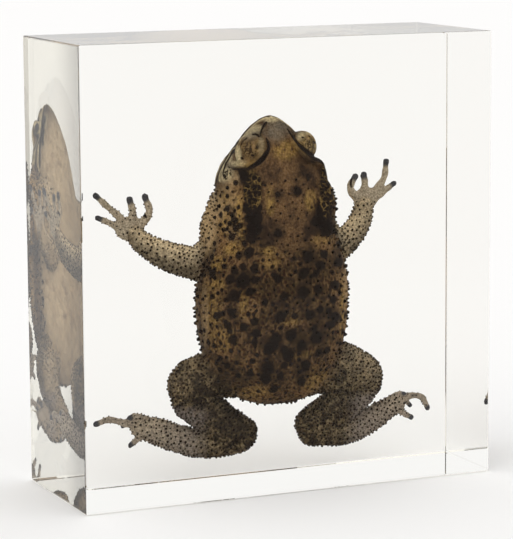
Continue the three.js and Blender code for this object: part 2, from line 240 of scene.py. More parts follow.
def digit(name: str, depth: float, path: tuple[tuple[float, float], ...], radius: float) -> Tube:
    """Gives a finger or toe.

    Args:
        name: What it is called.
        depth: How far back it lies, in millimetres.
        path: Its places across and up, in millimetres, from the palm to the tip.
        radius: Its middle radius in millimetres.

    Returns:
        The digit's tube, which thins out evenly.
    """
    last = len(path) - 1
    points = tuple((x, depth + DIGIT_LEAN * i, z) for i, (x, z) in enumerate(path))
    radii = tuple(radius * (DIGIT_ROOT - DIGIT_TAPER * i / last) for i in range(len(path)))
    pale = 1.0 if depth == HAND_Y else TOE_PALENESS
    return Tube(name, points, radii, knuckles=2, paleness=(pale, pale))


DIGITS = tuple(
    digit(f"{name} {i}", *row)
    for name, rows in (
        ("left finger", (
            (HAND_Y, ((-27.6, 57), (-25.3, 60), (-26.2, 63.3)), 0.85),
            (HAND_Y, ((-29.2, 57.5), (-29.1, 60.3), (-29.7, 62.9)), 0.85),
            (HAND_Y, ((-30.6, 58), (-34.2, 61.2), (-37.4, 64.2)), 0.75),
            (HAND_Y, ((-31.4, 56.6), (-34.4, 58.2), (-37, 59.4)), 0.7),
        )),
        ("right finger", (
            (HAND_Y, ((23.8, 60), (22.2, 62.6), (23.5, 65)), 0.85),
            (HAND_Y, ((25.4, 61), (25.8, 63.3), (25.6, 65.3)), 0.85),
            (HAND_Y, ((27.6, 61), (30.4, 64.2), (31.1, 68)), 0.8),
            (HAND_Y, ((28.2, 59.8), (30.8, 61.6), (33, 63)), 0.75),
        )),
        ("left toe", (
            (LEFT_SOLE_Y + 1, ((-26, 14.8), (-27.8, 15.6), (-29.2, 15.2)), 0.6),
            (LEFT_SOLE_Y, ((-26.7, 14.9), (-29.5, 16.3), (-31.1, 16)), 0.6),
            (LEFT_SOLE_Y + 0.9, ((-27.5, 14), (-30.1, 14.4), (-32.5, 14.2)), 0.65),
            (LEFT_SOLE_Y, ((-28.5, 13.9), (-32.3, 14.9), (-35.7, 15.9), (-38.7, 15.2)), 0.75),
            (LEFT_SOLE_Y, ((-27.7, 12.3), (-29.6, 10.9), (-31, 9.9)), 0.7),
        )),
        ("right toe", (
            (RIGHT_SOLE_Y + 1, ((30.4, 14.7), (32, 15.4), (32.8, 14.9)), 0.6),
            (RIGHT_SOLE_Y, ((30.6, 14.9), (32.4, 15.9), (33.8, 15.8)), 0.65),
            (RIGHT_SOLE_Y + 0.9, ((31.8, 13.9), (34.4, 14.1), (35.8, 12.9)), 0.65),
            (RIGHT_SOLE_Y, ((32.2, 14.1), (35.2, 15.2), (38.4, 14.7), (40, 12.1)), 0.75),
            (RIGHT_SOLE_Y, ((31.8, 12.9), (34, 11.3), (35.8, 10.3)), 0.7),
        )),
    )
    for i, row in enumerate(rows, 1)
)

RIDGES = (
    Tube("left crest", ((-3, -5.6, 79), (-4.2, -6.6, 77), (-2.9, -7.9, 74.4), (-4.4, -8.5, 70.6),
                        (-9.4, -6.2, 69.6)),
         (0.5, 0.6, 0.75, 0.75, 0.6)),
    Tube("right crest", ((1.2, -5.8, 78.6), (1.9, -6.8, 76.8), (3.2, -8, 74.2), (5.6, -8.6, 71.6),
                         (9, -6.8, 70.2), (10.3, -5.2, 68.4), (11, -4.8, 65.8)),
         (0.5, 0.6, 0.75, 0.75, 0.8, 0.9, 0.8)),
)

# The main dark marks of the back, as seen from the front: across, up, radius, and strength if faint.
SPOTS = tuple(
    Spot(*row)
    for row in (
        (-9, 68.5, 1.1), (-4.5, 66.5, 1, 0.55), (3.1, 64.5, 1.1, 0.9), (5.8, 67.4, 1.1, 0.5),
        (-3.2, 68.4, 0.9, 0.4), (-2, 70.6, 0.5, 0.4), (-6.9, 59.2, 2.3), (-8.2, 61.4, 1.5),
        (7.6, 57.6, 1.5), (-6.7, 56.8, 2), (-7.6, 55, 1.3), (-6.6, 61.4, 1.8), (9.5, 60.5, 1.8),
        (9, 58, 2.1), (10, 56, 2.1), (-1.2, 55.6, 1.1, 0.8), (-13, 61.7, 0.8, 0.9), (-11.5, 59, 0.8),
        (-12, 55.6, 1, 0.9), (-13.8, 57.2, 0.5), (-1.3, 64, 0.9, 0.62), (-8, 52, 1.3), (-10.5, 51.5, 0.9),
        (-11.5, 48.5, 1), (-12.5, 46.5, 1.2), (-9.5, 49, 0.9), (-7, 48.5, 1), (-9.5, 46, 1.9),
        (-16.5, 48, 0.9), (5.5, 50, 1.4), (9.5, 50.5, 1), (8.5, 48, 1.2), (5, 47, 1), (13, 48.5, 1.2),
        (12, 43.5, 1.2), (13.5, 52.5, 1.1), (-11.5, 43, 1.5), (-8, 43.5, 1), (-7, 46, 0.9),
        (-4.5, 41, 0.8), (4.5, 42.5, 1.5), (8, 43, 1.1), (11.5, 40.5, 1), (4.5, 46.5, 1.3),
        (7.5, 46.5, 0.9), (0, 42, 1.1), (-1.5, 46, 1.1), (-1, 37.5, 1.4), (2.5, 37.5, 0.8),
        (6, 37.5, 1.2), (8.5, 38.5, 0.9), (10.5, 38, 0.8), (12, 36.5, 1.3), (-15.5, 39, 0.9),
        (-12.5, 39.5, 0.9), (-13, 36.5, 0.9), (-7, 37, 1), (-9.5, 36, 1), (-12, 33.5, 1.2),
        (-6.5, 34.5, 1.1), (1.5, 33.5, 1.5), (7, 34.5, 0.8), (7.5, 32.5, 1.6), (11, 35, 1.1),
        (-2, 33, 1.3), (-7, 32.5, 0.9), (-3.5, 31, 1.6), (0, 30.5, 0.9), (1, 29, 1.5), (4, 31, 1.3),
        (8, 29, 0.9), (10, 29.5, 1), (-7.5, 28.5, 0.8), (-4, 26.5, 1.6), (0, 27, 0.9), (5, 26.5, 1.3),
        (-8, 26, 0.8), (-4.5, 24.5, 1.5), (-1, 24.5, 0.9), (4, 23, 1.1), (-2.5, 22, 1.1),
    )
)

# The soft patches of each tone: across, up, half width, half height, strength.
PATCHES = tuple(
    Patch(tone, *row)
    for tone, rows in (
        (Tone.LIGHT, (
            (0.5, 64, 8.5, 9, 0.55), (-1, 73, 8, 6, 0.6), (-13.4, 60, 5, 9, 1.1),
            (-11.5, 51.5, 6.5, 4.5, 0.45), (1, 56, 5, 5, 0.5), (-2.5, 50.2, 3.6, 3.2, 0.6),
            (9.5, 52.8, 4, 2.5, 0.45), (-16, 41, 4.5, 9, 0.26), (-13.5, 33, 5, 5, 0.38),
            (-7.8, 40, 3.2, 4.5, 0.48), (14, 41, 2.4, 12, 0.6), (1.6, 36.4, 3.6, 1.4, 0.42),
            (-7.6, 29.5, 3.5, 3, 0.42), (-6, 20.6, 7, 2.2, 0.48), (7, 21.5, 6.5, 3.4, 0.48),
            (12, 27.5, 3, 4.5, 0.4), (-7.6, 73.8, 4, 3.8, 0.9), (6, 74.8, 3.2, 2.8, 0.9),
            (-23.6, 23.6, 2.4, 6, 0.6), (-20.4, 28.2, 5, 2.4, 0.5), (-13, 8.6, 4, 2.4, 0.35),
            (10.5, 11.5, 6, 3.6, 0.3), (18.5, 25, 4, 5, 0.3),
        )),
        (Tone.GOLD, (
            (0.6, 73.4, 3.4, 2.5, 1), (-3.1, 62.8, 1.3, 3.4, 0.9), (6.3, 62.4, 1.5, 2.6, 0.9),
            (-10.6, 61, 1.4, 5, 1), (-14, 63.8, 2.8, 2.2, 1), (-14, 59, 2, 3, 0.85),
            (-9.8, 57, 1, 2.6, 0.6), (-11.8, 53, 2.6, 1.8, 0.8), (-15.2, 50.2, 2.2, 1.8, 0.75),
            (-3.6, 52, 2.2, 1, 0.9), (-3.2, 49.6, 2.6, 1.8, 0.6), (9, 53.6, 2.8, 1.3, 0.55),
            (-15.6, 45.8, 2.6, 1.3, 0.65), (-9.4, 40.6, 1.2, 3.2, 0.6), (-16.6, 40, 2.2, 5.6, 0.45),
            (-14.4, 34, 3.2, 3.2, 0.55), (1.6, 36.4, 2.8, 1.1, 0.45), (4.4, 28.8, 3.2, 1, 0.35),
            (-7.6, 21.4, 4.6, 1.8, 0.45), (8.4, 22.4, 4, 2.6, 0.5), (13.8, 38, 0.9, 8, 0.7),
            (-6.4, 75, 1.4, 1.6, 0.6), (-7.4, 68.6, 1.6, 1.2, 0.4), (-7.4, 74, 3.4, 3.2, 0.65),
            (-8.2, 71, 2.6, 0.8, 0.8), (6, 74.8, 3.2, 2.8, 0.9),
        )),
        (Tone.TAN, (
            (-17.6, 58.6, 2.6, 7, 0.95), (-14.8, 62, 1.8, 3.4, 0.6), (-12.2, 63.6, 2.2, 2.6, 0.4),
            (-12, 57.6, 2.2, 3.4, 0.3), (-13.4, 65.6, 2.2, 1.4, 0.6), (-18.4, 39, 1, 8, 0.4),
            (15.2, 43, 1.2, 9, 0.6), (-11.8, 68, 1.8, 1.9, 0.75), (-7.4, 74, 3, 2.9, 0.3),
        )),
        (Tone.PALE, (
            (-10.4, 73, 0.8, 2.2, 0.8), (-10.4, 71.2, 2.2, 0.8, 0.5), (-5.2, 74.6, 0.9, 2.2, 0.35),
            (-13.4, 69, 2, 1.8, 0.6), (-12.4, 72.8, 0.7, 1.8, 0.4), (-6.8, 78.5, 2.4, 1, 0.5),
            (-2.8, 80.3, 2, 0.8, 0.55), (-8.6, 77.6, 2.8, 1.3, 0.35), (4.2, 76.2, 1.2, 1.2, 0.6),
            (8.2, 73.6, 0.9, 1.6, 0.75), (6.6, 76.8, 2, 0.6, 0.55), (6.4, 74.4, 2.4, 2.2, 0.18),
        )),
        (Tone.GREY, (
            (-1.4, 77.8, 3.4, 2.8, 0.65), (-8.4, 77.4, 3.4, 1.8, 0.9), (-13.6, 71, 2.2, 4.6, 0.6),
        )),
        (Tone.FLECK, (
            (-13.2, 69, 2.2, 1.9, 1), (-8.2, 77.2, 3.2, 1.6, 0.5), (-7.6, 74, 2.9, 2.8, 0.9),
            (6.2, 74.6, 2.8, 2.4, 0.9), (-14.4, 65, 2.4, 2.4, 0.5),
        )),
        (Tone.NET, (
            (-7.2, 65.2, 2.4, 4.2, 1.8), (10.2, 64.4, 1.8, 6.6, 1.8), (-12.8, 58, 2.2, 5, 0.35),
        )),
        (Tone.SHADE, (
            (-7, 59.4, 2, 7, 0.95), (-6.8, 65.4, 1.4, 1.6, 0.6), (9.9, 64, 1.7, 3.6, 0.7),
            (9, 58.4, 3.2, 3.4, 0.95), (-1.2, 55.8, 2.2, 2.2, 1), (-1.3, 64.1, 2, 1.7, 0.95),
            (2.9, 64.6, 1.9, 1.7, 1), (-8.6, 51.6, 1.6, 1.4, 0.8), (-9.6, 47, 3.6, 1.8, 0.85),
            (-12.2, 42.8, 2.4, 1.9, 0.85), (-7.8, 43.6, 1.4, 1.2, 0.75), (4.6, 43.2, 2.2, 3.4, 0.8),
            (6.4, 50.2, 2.2, 3.2, 0.75), (8.2, 43, 1.4, 1.4, 0.7), (12.6, 50, 1.5, 3.6, 0.55),
            (10.6, 37.4, 3.6, 1.8, 0.8), (6.4, 37.2, 1.9, 1.3, 0.8), (8.2, 33, 2.8, 2.2, 0.8),
            (3.4, 32.4, 3, 2.6, 0.75), (-1, 37.6, 1.8, 1.9, 0.85), (-3.4, 32, 3.4, 2.4, 0.7),
            (-4.2, 26.6, 2.2, 4, 0.85), (4, 24.8, 2.4, 3.6, 0.8), (0.4, 29, 3, 1.4, 0.6),
            (-0.8, 24, 1.8, 1.6, 0.6), (-9.4, 24.6, 2.2, 1.4, 0.5), (-12.6, 61.9, 1.7, 0.8, 0.5),
            (-12.4, 56, 1.8, 1.4, 0.35), (5.8, 71.4, 3.6, 1.6, 0.6), (4, 66.6, 3.4, 1.6, 0.25),
            (-2.4, 67.6, 3.2, 1.6, 0.3), (2.2, 77.2, 0.9, 0.9, 0.7), (-7.8, 74.9, 1.1, 0.9, 0.6),
            (-6.2, 74.4, 0.8, 0.8, 0.45), (-6.9, 72.8, 1.3, 0.9, 0.8), (-7, 76.1, 1.2, 0.6, 0.5),
            (6.4, 74.8, 1.5, 1, 0.4), (0, 40.6, 5, 3.4, 0.35), (-12.6, 38.6, 2.6, 1.4, 0.4),
            (-14.8, 24, 3, 4, 0.6), (-18.6, 18, 3.4, 3, 0.5), (-12.8, 16, 4.4, 3.4, 0.65),
            (-8, 12.4, 3.6, 2.4, 0.5),
        )),
    )
    for row in rows
)

# Dark lines of the head, and small dark flecks as short lines.
LINES = (
    Line(((-3.9, 79.6), (-4.5, 78.9), (-5.1, 77.9), (-5.5, 76.8)), (0.22, 0.28, 0.2, 0.1)),
    Line(((-4, 76.3), (-3.6, 75.3), (-3.5, 74.2), (-3.8, 73.1), (-4.6, 72.1), (-5.6, 71.3), (-6.7, 70.6),
          (-8.4, 69.9)),
         (0.14, 0.36, 0.48, 0.54, 0.58, 0.54, 0.46, 0.2)),
    Line(((-8.4, 69.9), (-9.6, 69.9), (-10.7, 70), (-11.6, 70.1), (-12.9, 70.7)),
         (0.2, 0.16, 0.15, 0.16, 0.1)),
    Line(((-5.7, 76.6), (-5.9, 77), (-6.4, 77.4), (-7.2, 77.4)), (0.1, 0.18, 0.18, 0.12)),
    Line(((-8.3, 76.5), (-9.2, 75.9), (-9.7, 75.2), (-9.8, 74.2)), (0.1, 0.13, 0.14, 0.08)),
    Line(((-7.8, 78.9), (-9.9, 77), (-11.1, 75.4), (-12.4, 73.8), (-13.4, 72.2), (-14.4, 70.6),
          (-15.1, 69.2), (-15.5, 67.6)),
         (0.1, 0.15, 0.15, 0.15, 0.15, 0.15, 0.14, 0.1)),
    Line(((-10.1, 75.9), (-11.1, 74.7), (-12, 73.5), (-12.7, 72.3), (-13.3, 71.4), (-13.7, 70.3),
          (-14, 69.2), (-13.6, 68.2)),
         (0.12, 0.2, 0.26, 0.26, 0.24, 0.18, 0.16, 0.14)),
    Line(((1, 77.9), (1.9, 76.6), (2.7, 75.6), (3.5, 74.6), (4.5, 73.6), (5.8, 72.6), (7.1, 71.6),
          (8.3, 71), (9.3, 70.3)),
         (0.18, 0.24, 0.3, 0.36, 0.5, 0.54, 0.54, 0.5, 0.35)),
    Line(((-10.4, 69.7), (-10.1, 68.9), (-9.8, 67.8)), (0.14, 0.18, 0.18)),
    Line(((-9.3, 69.1), (-9.1, 68.5), (-8.8, 67.9)), (0.65, 0.85, 0.6)),
    Line(((-9.7, 72.3), (-9.4, 72.1)), (0.26, 0.26)),
    Line(((-7.3, 72.8), (-7, 72.6)), (0.22, 0.22)),
    Line(((-6.2, 74.4), (-5.8, 74.2)), (0.2, 0.2)),
    Line(((4.4, 76), (4.7, 75.9)), (0.2, 0.2)),
    Line(((7.2, 75), (7.5, 74.7)), (0.2, 0.2)),
    Line(((6, 76.2), (6.2, 76.1)), (0.16, 0.16)),
    Line(((-32.7, 63), (-32.6, 62), (-31.9, 61.2)), (0.25, 0.4, 0.25)),
    Line(((16.7, 67.2), (16.4, 66), (16.6, 64.9)), (0.25, 0.3, 0.2)),
)

# The pale lip between the two dark lines of the jaw.
LIPS = (
    Line(((-9.2, 77.1), (-10.6, 75.5), (-11.9, 74), (-12.9, 72.5), (-13.8, 71), (-14.5, 69.4),
          (-14.8, 67.8)),
         (0.22, 0.26, 0.26, 0.26, 0.26, 0.24, 0.2), 0.85),
)

# Soft folds of the skin, grooved into the relief and darkened along their lines with painted shade.
FOLDS = (
    Line(((-18.4, 31), (-15.4, 29.6), (-13, 27.8), (-10.9, 25.5), (-8.9, 23.6)),
         (0.4, 0.7, 0.8, 0.8, 0.5), 0.75),
    Line(((-17.2, 29.8), (-15.2, 28.2), (-13.9, 26), (-12.9, 23.4)), (0.4, 0.6, 0.7, 0.5), 0.75),
    Line(((14.2, 31.6), (12.9, 28), (11.5, 24.4)), (0.5, 0.8, 0.6), 0.5),
    Line(((-15.4, 55.8), (-17.1, 52), (-18.5, 49), (-19.7, 46.9)), (0.5, 0.7, 0.8, 0.6), 0.9),
)

# The slit of the mouth on the toad's left, from the snout to the corner, in millimetres.
MOUTH = ((-1.8, -3.6, 80), (-5, -2.6, 78.6), (-8.2, -1.6, 75.6), (-11.4, -0.4, 71.2), (-13.4, 0.6, 66.8))
MOUTH_MIDDLE_X = -1.2

# Where the nape and the left lid are, and the lid's half sizes, as seen from the front.
NAPE_X = 1.4
LID_AT = (-7.7, 73.7)
LID_SIZE = (3.6, 3.5)


def smoothstep(low: float, high: float, value: np.ndarray) -> np.ndarray:
    """Runs smoothly from 0 where value is low to 1 where it is high."""
    t = np.clip((value - low) / (high - low), 0.0, 1.0)
    return t * t * (3.0 - 2.0 * t)


def hump(middle: float, width: float, value: np.ndarray) -> np.ndarray:
    """Rises smoothly to 1 where value is at its middle."""
    return np.exp(-(((value - middle) / width) ** 2))


def closeness(gap: np.ndarray, reach: float) -> np.ndarray:
    """Falls off smoothly as the gap to a form grows."""
    return np.exp(-np.maximum(gap, -0.5) / reach)


def through_points(points: np.ndarray, count: int) -> np.ndarray:
    """Fits a smooth curve through rows of numbers.

    Args:
        points: One row for each point that the curve passes.
        count: How many steps the curve is given in.

    Returns:
        count + 1 rows along the curve, evenly in its parameter.
    """
    first = 2.0 * points[0] - points[1]
    last = 2.0 * points[-1] - points[-2]
    padded = np.vstack([first, points, last])
    places = np.linspace(0.0, len(points) - 1.0, count + 1)
    out = []
    for place in places:
        i = min(int(place), len(points) - 2)
        t = place - i
        p0, p1, p2, p3 = padded[i : i + 4]
        bend = (2 * p0 - 5 * p1 + 4 * p2 - p3) * t**2 + (3 * p1 - p0 - 3 * p2 + p3) * t**3
        out.append(0.5 * (2 * p1 + (p2 - p0) * t + bend))
    return np.array(out)


def sized(points: tuple[tuple[float, ...], ...], sizes: tuple[float, ...]) -> np.ndarray:
    """Gives one row for each point, with its size at the end."""
    return np.hstack([np.array(points), np.array(sizes)[:, None]])


def gap_to_line(places: np.ndarray, start: np.ndarray, end: np.ndarray) -> np.ndarray:
    """Gives how far each place lies from the straight line between two points.

    Args:
        places: Places in the plane or in space.
        start: Where the line starts.
        end: Where it ends.

    Returns:
        One distance for each place.
    """
    along = end - start
    t = np.clip(((places - start) @ along) / (along @ along), 0.0, 1.0)
    return np.linalg.norm(places - start - t[:, None] * along, axis=1)


class MeshPile:
    """Gathers closed shells into one list of vertices and faces."""

    def __init__(self) -> None:
        """Starts with nothing."""
        self.vertices: list[np.ndarray] = []
        self.faces: list[tuple[int, ...]] = []
        self.count = 0

    def add(self, vertices: np.ndarray, faces: list[tuple[int, ...]]) -> None:
        """Adds one closed shell, whose faces count its own vertices from 0.

        Args:
            vertices: The shell's vertices in millimetres.
            faces: Its faces.
        """
        self.vertices.append(vertices)
        self.faces.extend(tuple(i + self.count for i in face) for face in faces)
        self.count += len(vertices)

    def add_rings(self, rings: list[np.ndarray], first_tip: np.ndarray, last_tip: np.ndarray) -> None:
        """Adds a closed skin over rings of equally many points, with a tip at each end.

        Args:
            rings: The rings of points, in order.
            first_tip: The point that closes the first ring.
            last_tip: The point that closes the last one.
        """
        sides = len(rings[0])
        vertices = np.vstack([*rings, first_tip[None], last_tip[None]])
        faces: list[tuple[int, ...]] = []
        for r in range(len(rings) - 1):
            for s in range(sides):
                a = r * sides + s
                b = r * sides + (s + 1) % sides
                faces.append((a, b, b + sides, a + sides))
        top = (len(rings) - 1) * sides
        for s in range(sides):
            follow = (s + 1) % sides
            faces.append((len(vertices) - 2, follow, s))
            faces.append((len(vertices) - 1, top + s, top + follow))
        self.add(vertices, faces)

    def mesh(self, name: str) -> bpy.types.Mesh:
        """Makes one mesh of the gathered shells, with every shell's faces pointing out.

        Args:
            name: The mesh's name.

        Returns:
            The mesh in metres.
        """
        data = bpy.data.meshes.new(name)
        data.from_pydata((np.vstack(self.vertices) * MM).tolist(), [], self.faces)
        bm = bmesh.new()
        bm.from_mesh(data)
        bmesh.ops.recalc_face_normals(bm, faces=bm.faces)
        bm.to_mesh(data)
        bm.free()
        return data


def plain_mesh(obj: bpy.types.Object, name: str) -> bpy.types.Mesh:
    """Applies an object's modifiers, and takes them off the object.

    Args:
        obj: The object.
        name: The name of the new mesh.

    Returns:
        The mesh as the modifiers leave it.
    """
    bpy.context.view_layer.update()
    graph = bpy.context.evaluated_depsgraph_get()
    done = obj.evaluated_get(graph)
    data = bpy.data.meshes.new_from_object(done, preserve_all_data_layers=True, depsgraph=graph)
    data.name = name
    obj.modifiers.clear()
    return data


def smooth(data: bpy.types.Mesh) -> None:
    """Shades every face of a mesh smoothly."""
    data.polygons.foreach_set("use_smooth", np.ones(len(data.polygons), dtype=bool))


def place(name: str, data: bpy.types.Mesh) -> bpy.types.Object:
    """Puts a mesh in the scene as an object at the origin.

    Args:
        name: The object's name.
        data: Its mesh.

    Returns:
        The object.
    """
    obj = bpy.data.objects.new(name, data)
    bpy.context.scene.collection.objects.link(obj)
    return obj


class Nodes:
    """A short way to build a node tree."""

    def __init__(self, tree: bpy.types.NodeTree) -> None:
        """Takes an empty tree."""
        self.tree = tree

    def feed(self, node: bpy.types.Node, inputs: Inputs) -> None:
        """Links a node's inputs to other nodes, or sets their values.

        Args:
            node: The node.
            inputs: A socket or a value for each input; a colour has three numbers.
        """
        for key, value in inputs.items():
            socket = node.inputs[key]
            if isinstance(value, Socket):
                self.tree.links.new(value, socket)
            else:
                socket.default_value = (*value, 1.0) if socket.type == "RGBA" else value

    def add(self, kind: str, inputs: Inputs | None = None, **values: object) -> bpy.types.Node:
        """Adds a node.

        Args:
            kind: The node's type.
            inputs: What its sockets are fed.
            values: Its own properties.

        Returns:
            The node.
        """
        node = self.tree.nodes.new(kind)
        for key, value in values.items():
            setattr(node, key, value)
        self.feed(node, inputs or {})
        return node

    def maths(self, operation: str, a: object, b: object, clamp: bool = False) -> Socket:
        """Adds a Math node, and gives its output."""
        return self.add("ShaderNodeMath", {0: a, 1: b}, operation=operation, use_clamp=clamp).outputs[0]

    def plus(self, a: object, b: object, clamp: bool = False) -> Socket:
        """Adds one value to another."""
        return self.maths("ADD", a, b, clamp)

    def times(self, a: object, b: object) -> Socket:
        """Multiplies two values."""
        return self.maths("MULTIPLY", a, b)

    def swing(self, value: Socket, reach: float) -> Socket:
        """Centres a noise on 0, and scales it."""
        return self.times(self.maths("SUBTRACT", value, 0.5), reach)

    def mix(self, factor: object, a: object, b: object, blend: str = "MIX") -> Socket:
        """Adds a colour Mix node, and gives its result."""
        inputs = {0: factor, 6: a, 7: b}
        return self.add("ShaderNodeMix", inputs, data_type="RGBA", blend_type=blend).outputs[2]

    def ramp(self, value: Socket, low: float, high: float) -> Socket:
        """Maps low..high smoothly to 0..1."""
        inputs = {"Value": value, "From Min": low, "From Max": high}
        return self.add("ShaderNodeMapRange", inputs, interpolation_type="SMOOTHSTEP").outputs["Result"]

    def mark(self, name: str) -> Socket:
        """Gives a number stored on the mesh."""
        return self.add("ShaderNodeAttribute", attribute_name=name).outputs["Fac"]

    def noise(self, where: Socket, scale: float, detail: float) -> Socket:
        """Adds a noise texture, and gives its value."""
        inputs = {"Vector": where, "Scale": scale, "Detail": detail}
        return self.add("ShaderNodeTexNoise", inputs).outputs["Fac"]

    def part(self, vector: Socket, axis: str) -> Socket:
        """Gives one part of a vector."""
        return self.add("ShaderNodeSeparateXYZ", {0: vector}).outputs[axis]


def new_material(name: str) -> tuple[bpy.types.Material, bpy.types.Node]:
    """Starts a material.

    Args:
        name: What it is called.

    Returns:
        The material and its shader.
    """
    mat = bpy.data.materials.new(name)
    mat.use_nodes = True
    return mat, mat.node_tree.nodes["Principled BSDF"]


class SkinGrain(Nodes):
    """The nodes of a skin, with the noises that its parts share.

    Scales are cells in a metre. Dots have a scale, and a radius as a share of a cell.
    """

    CLOUD = 420.0
    MOTTLE = 1000.0
    FINE = 2600.0
    STREAK = 1500.0
    STREAK_STRETCH = (1.0, 1.0, 0.55)
    NET = 900.0
    LEG_NET = 1300.0
    NET_BEND = 0.8
    TRUNK_DOTS = (760.0, 0.36)
    LEG_BLOTS = (460.0, 0.48)

    def __init__(self, tree: bpy.types.NodeTree) -> None:
        """Adds the shared noises.

        Args:
            tree: The skin material's tree.
        """
        super().__init__(tree)
        self.where = self.add("ShaderNodeTexCoord").outputs["Object"]
        self.cloud = self.noise(self.where, self.CLOUD, 3.0)
        self.mottle = self.noise(self.where, self.MOTTLE, 3.0)
        self.fine = self.noise(self.where, self.FINE, 2.0)
        stretch = {0: self.where, 1: self.STREAK_STRETCH}
        drawn = self.add("ShaderNodeVectorMath", stretch, operation="MULTIPLY").outputs[0]
        self.streaks = self.noise(drawn, self.STREAK, 4.0)
        self.net = self.network(self.NET)

    def network(self, scale: float) -> Socket:
        """Adds the fine net of folds between the skin's cells.

        Args:
            scale: How many cells there are in a metre.

        Returns:
            How close each place is to a fold.
        """
        rough = {"Vector": self.where, "Scale": scale * self.NET_BEND}
        drift = self.add("ShaderNodeTexNoise", rough).outputs["Color"]
        moved = {0: drift, 1: (self.NET_BEND / scale,) * 3, 2: self.where}
        bent = self.add("ShaderNodeVectorMath", moved, operation="MULTIPLY_ADD").outputs[0]
        spread = {"Vector": bent, "Scale": scale}
        cells = self.add("ShaderNodeTexVoronoi", spread, feature="DISTANCE_TO_EDGE")
        return self.ramp(cells.outputs["Distance"], 0.17, 0.01)

    def dots(self, scale: float, reach: float) -> tuple[Socket, Socket]:
        """Scatters small dots over the skin.

        Args:
            scale: How many cells there are in a metre.
            reach: The dots' radius as a share of a cell.

        Returns:
            The dots, and the rings round them.
        """
        far = self.add("ShaderNodeTexVoronoi", {"Vector": self.where, "Scale": scale}).outputs["Distance"]
        dot = self.ramp(far, reach, reach * 0.67)
        return dot, self.maths("SUBTRACT", self.ramp(far, reach + 0.30, reach + 0.08), dot)


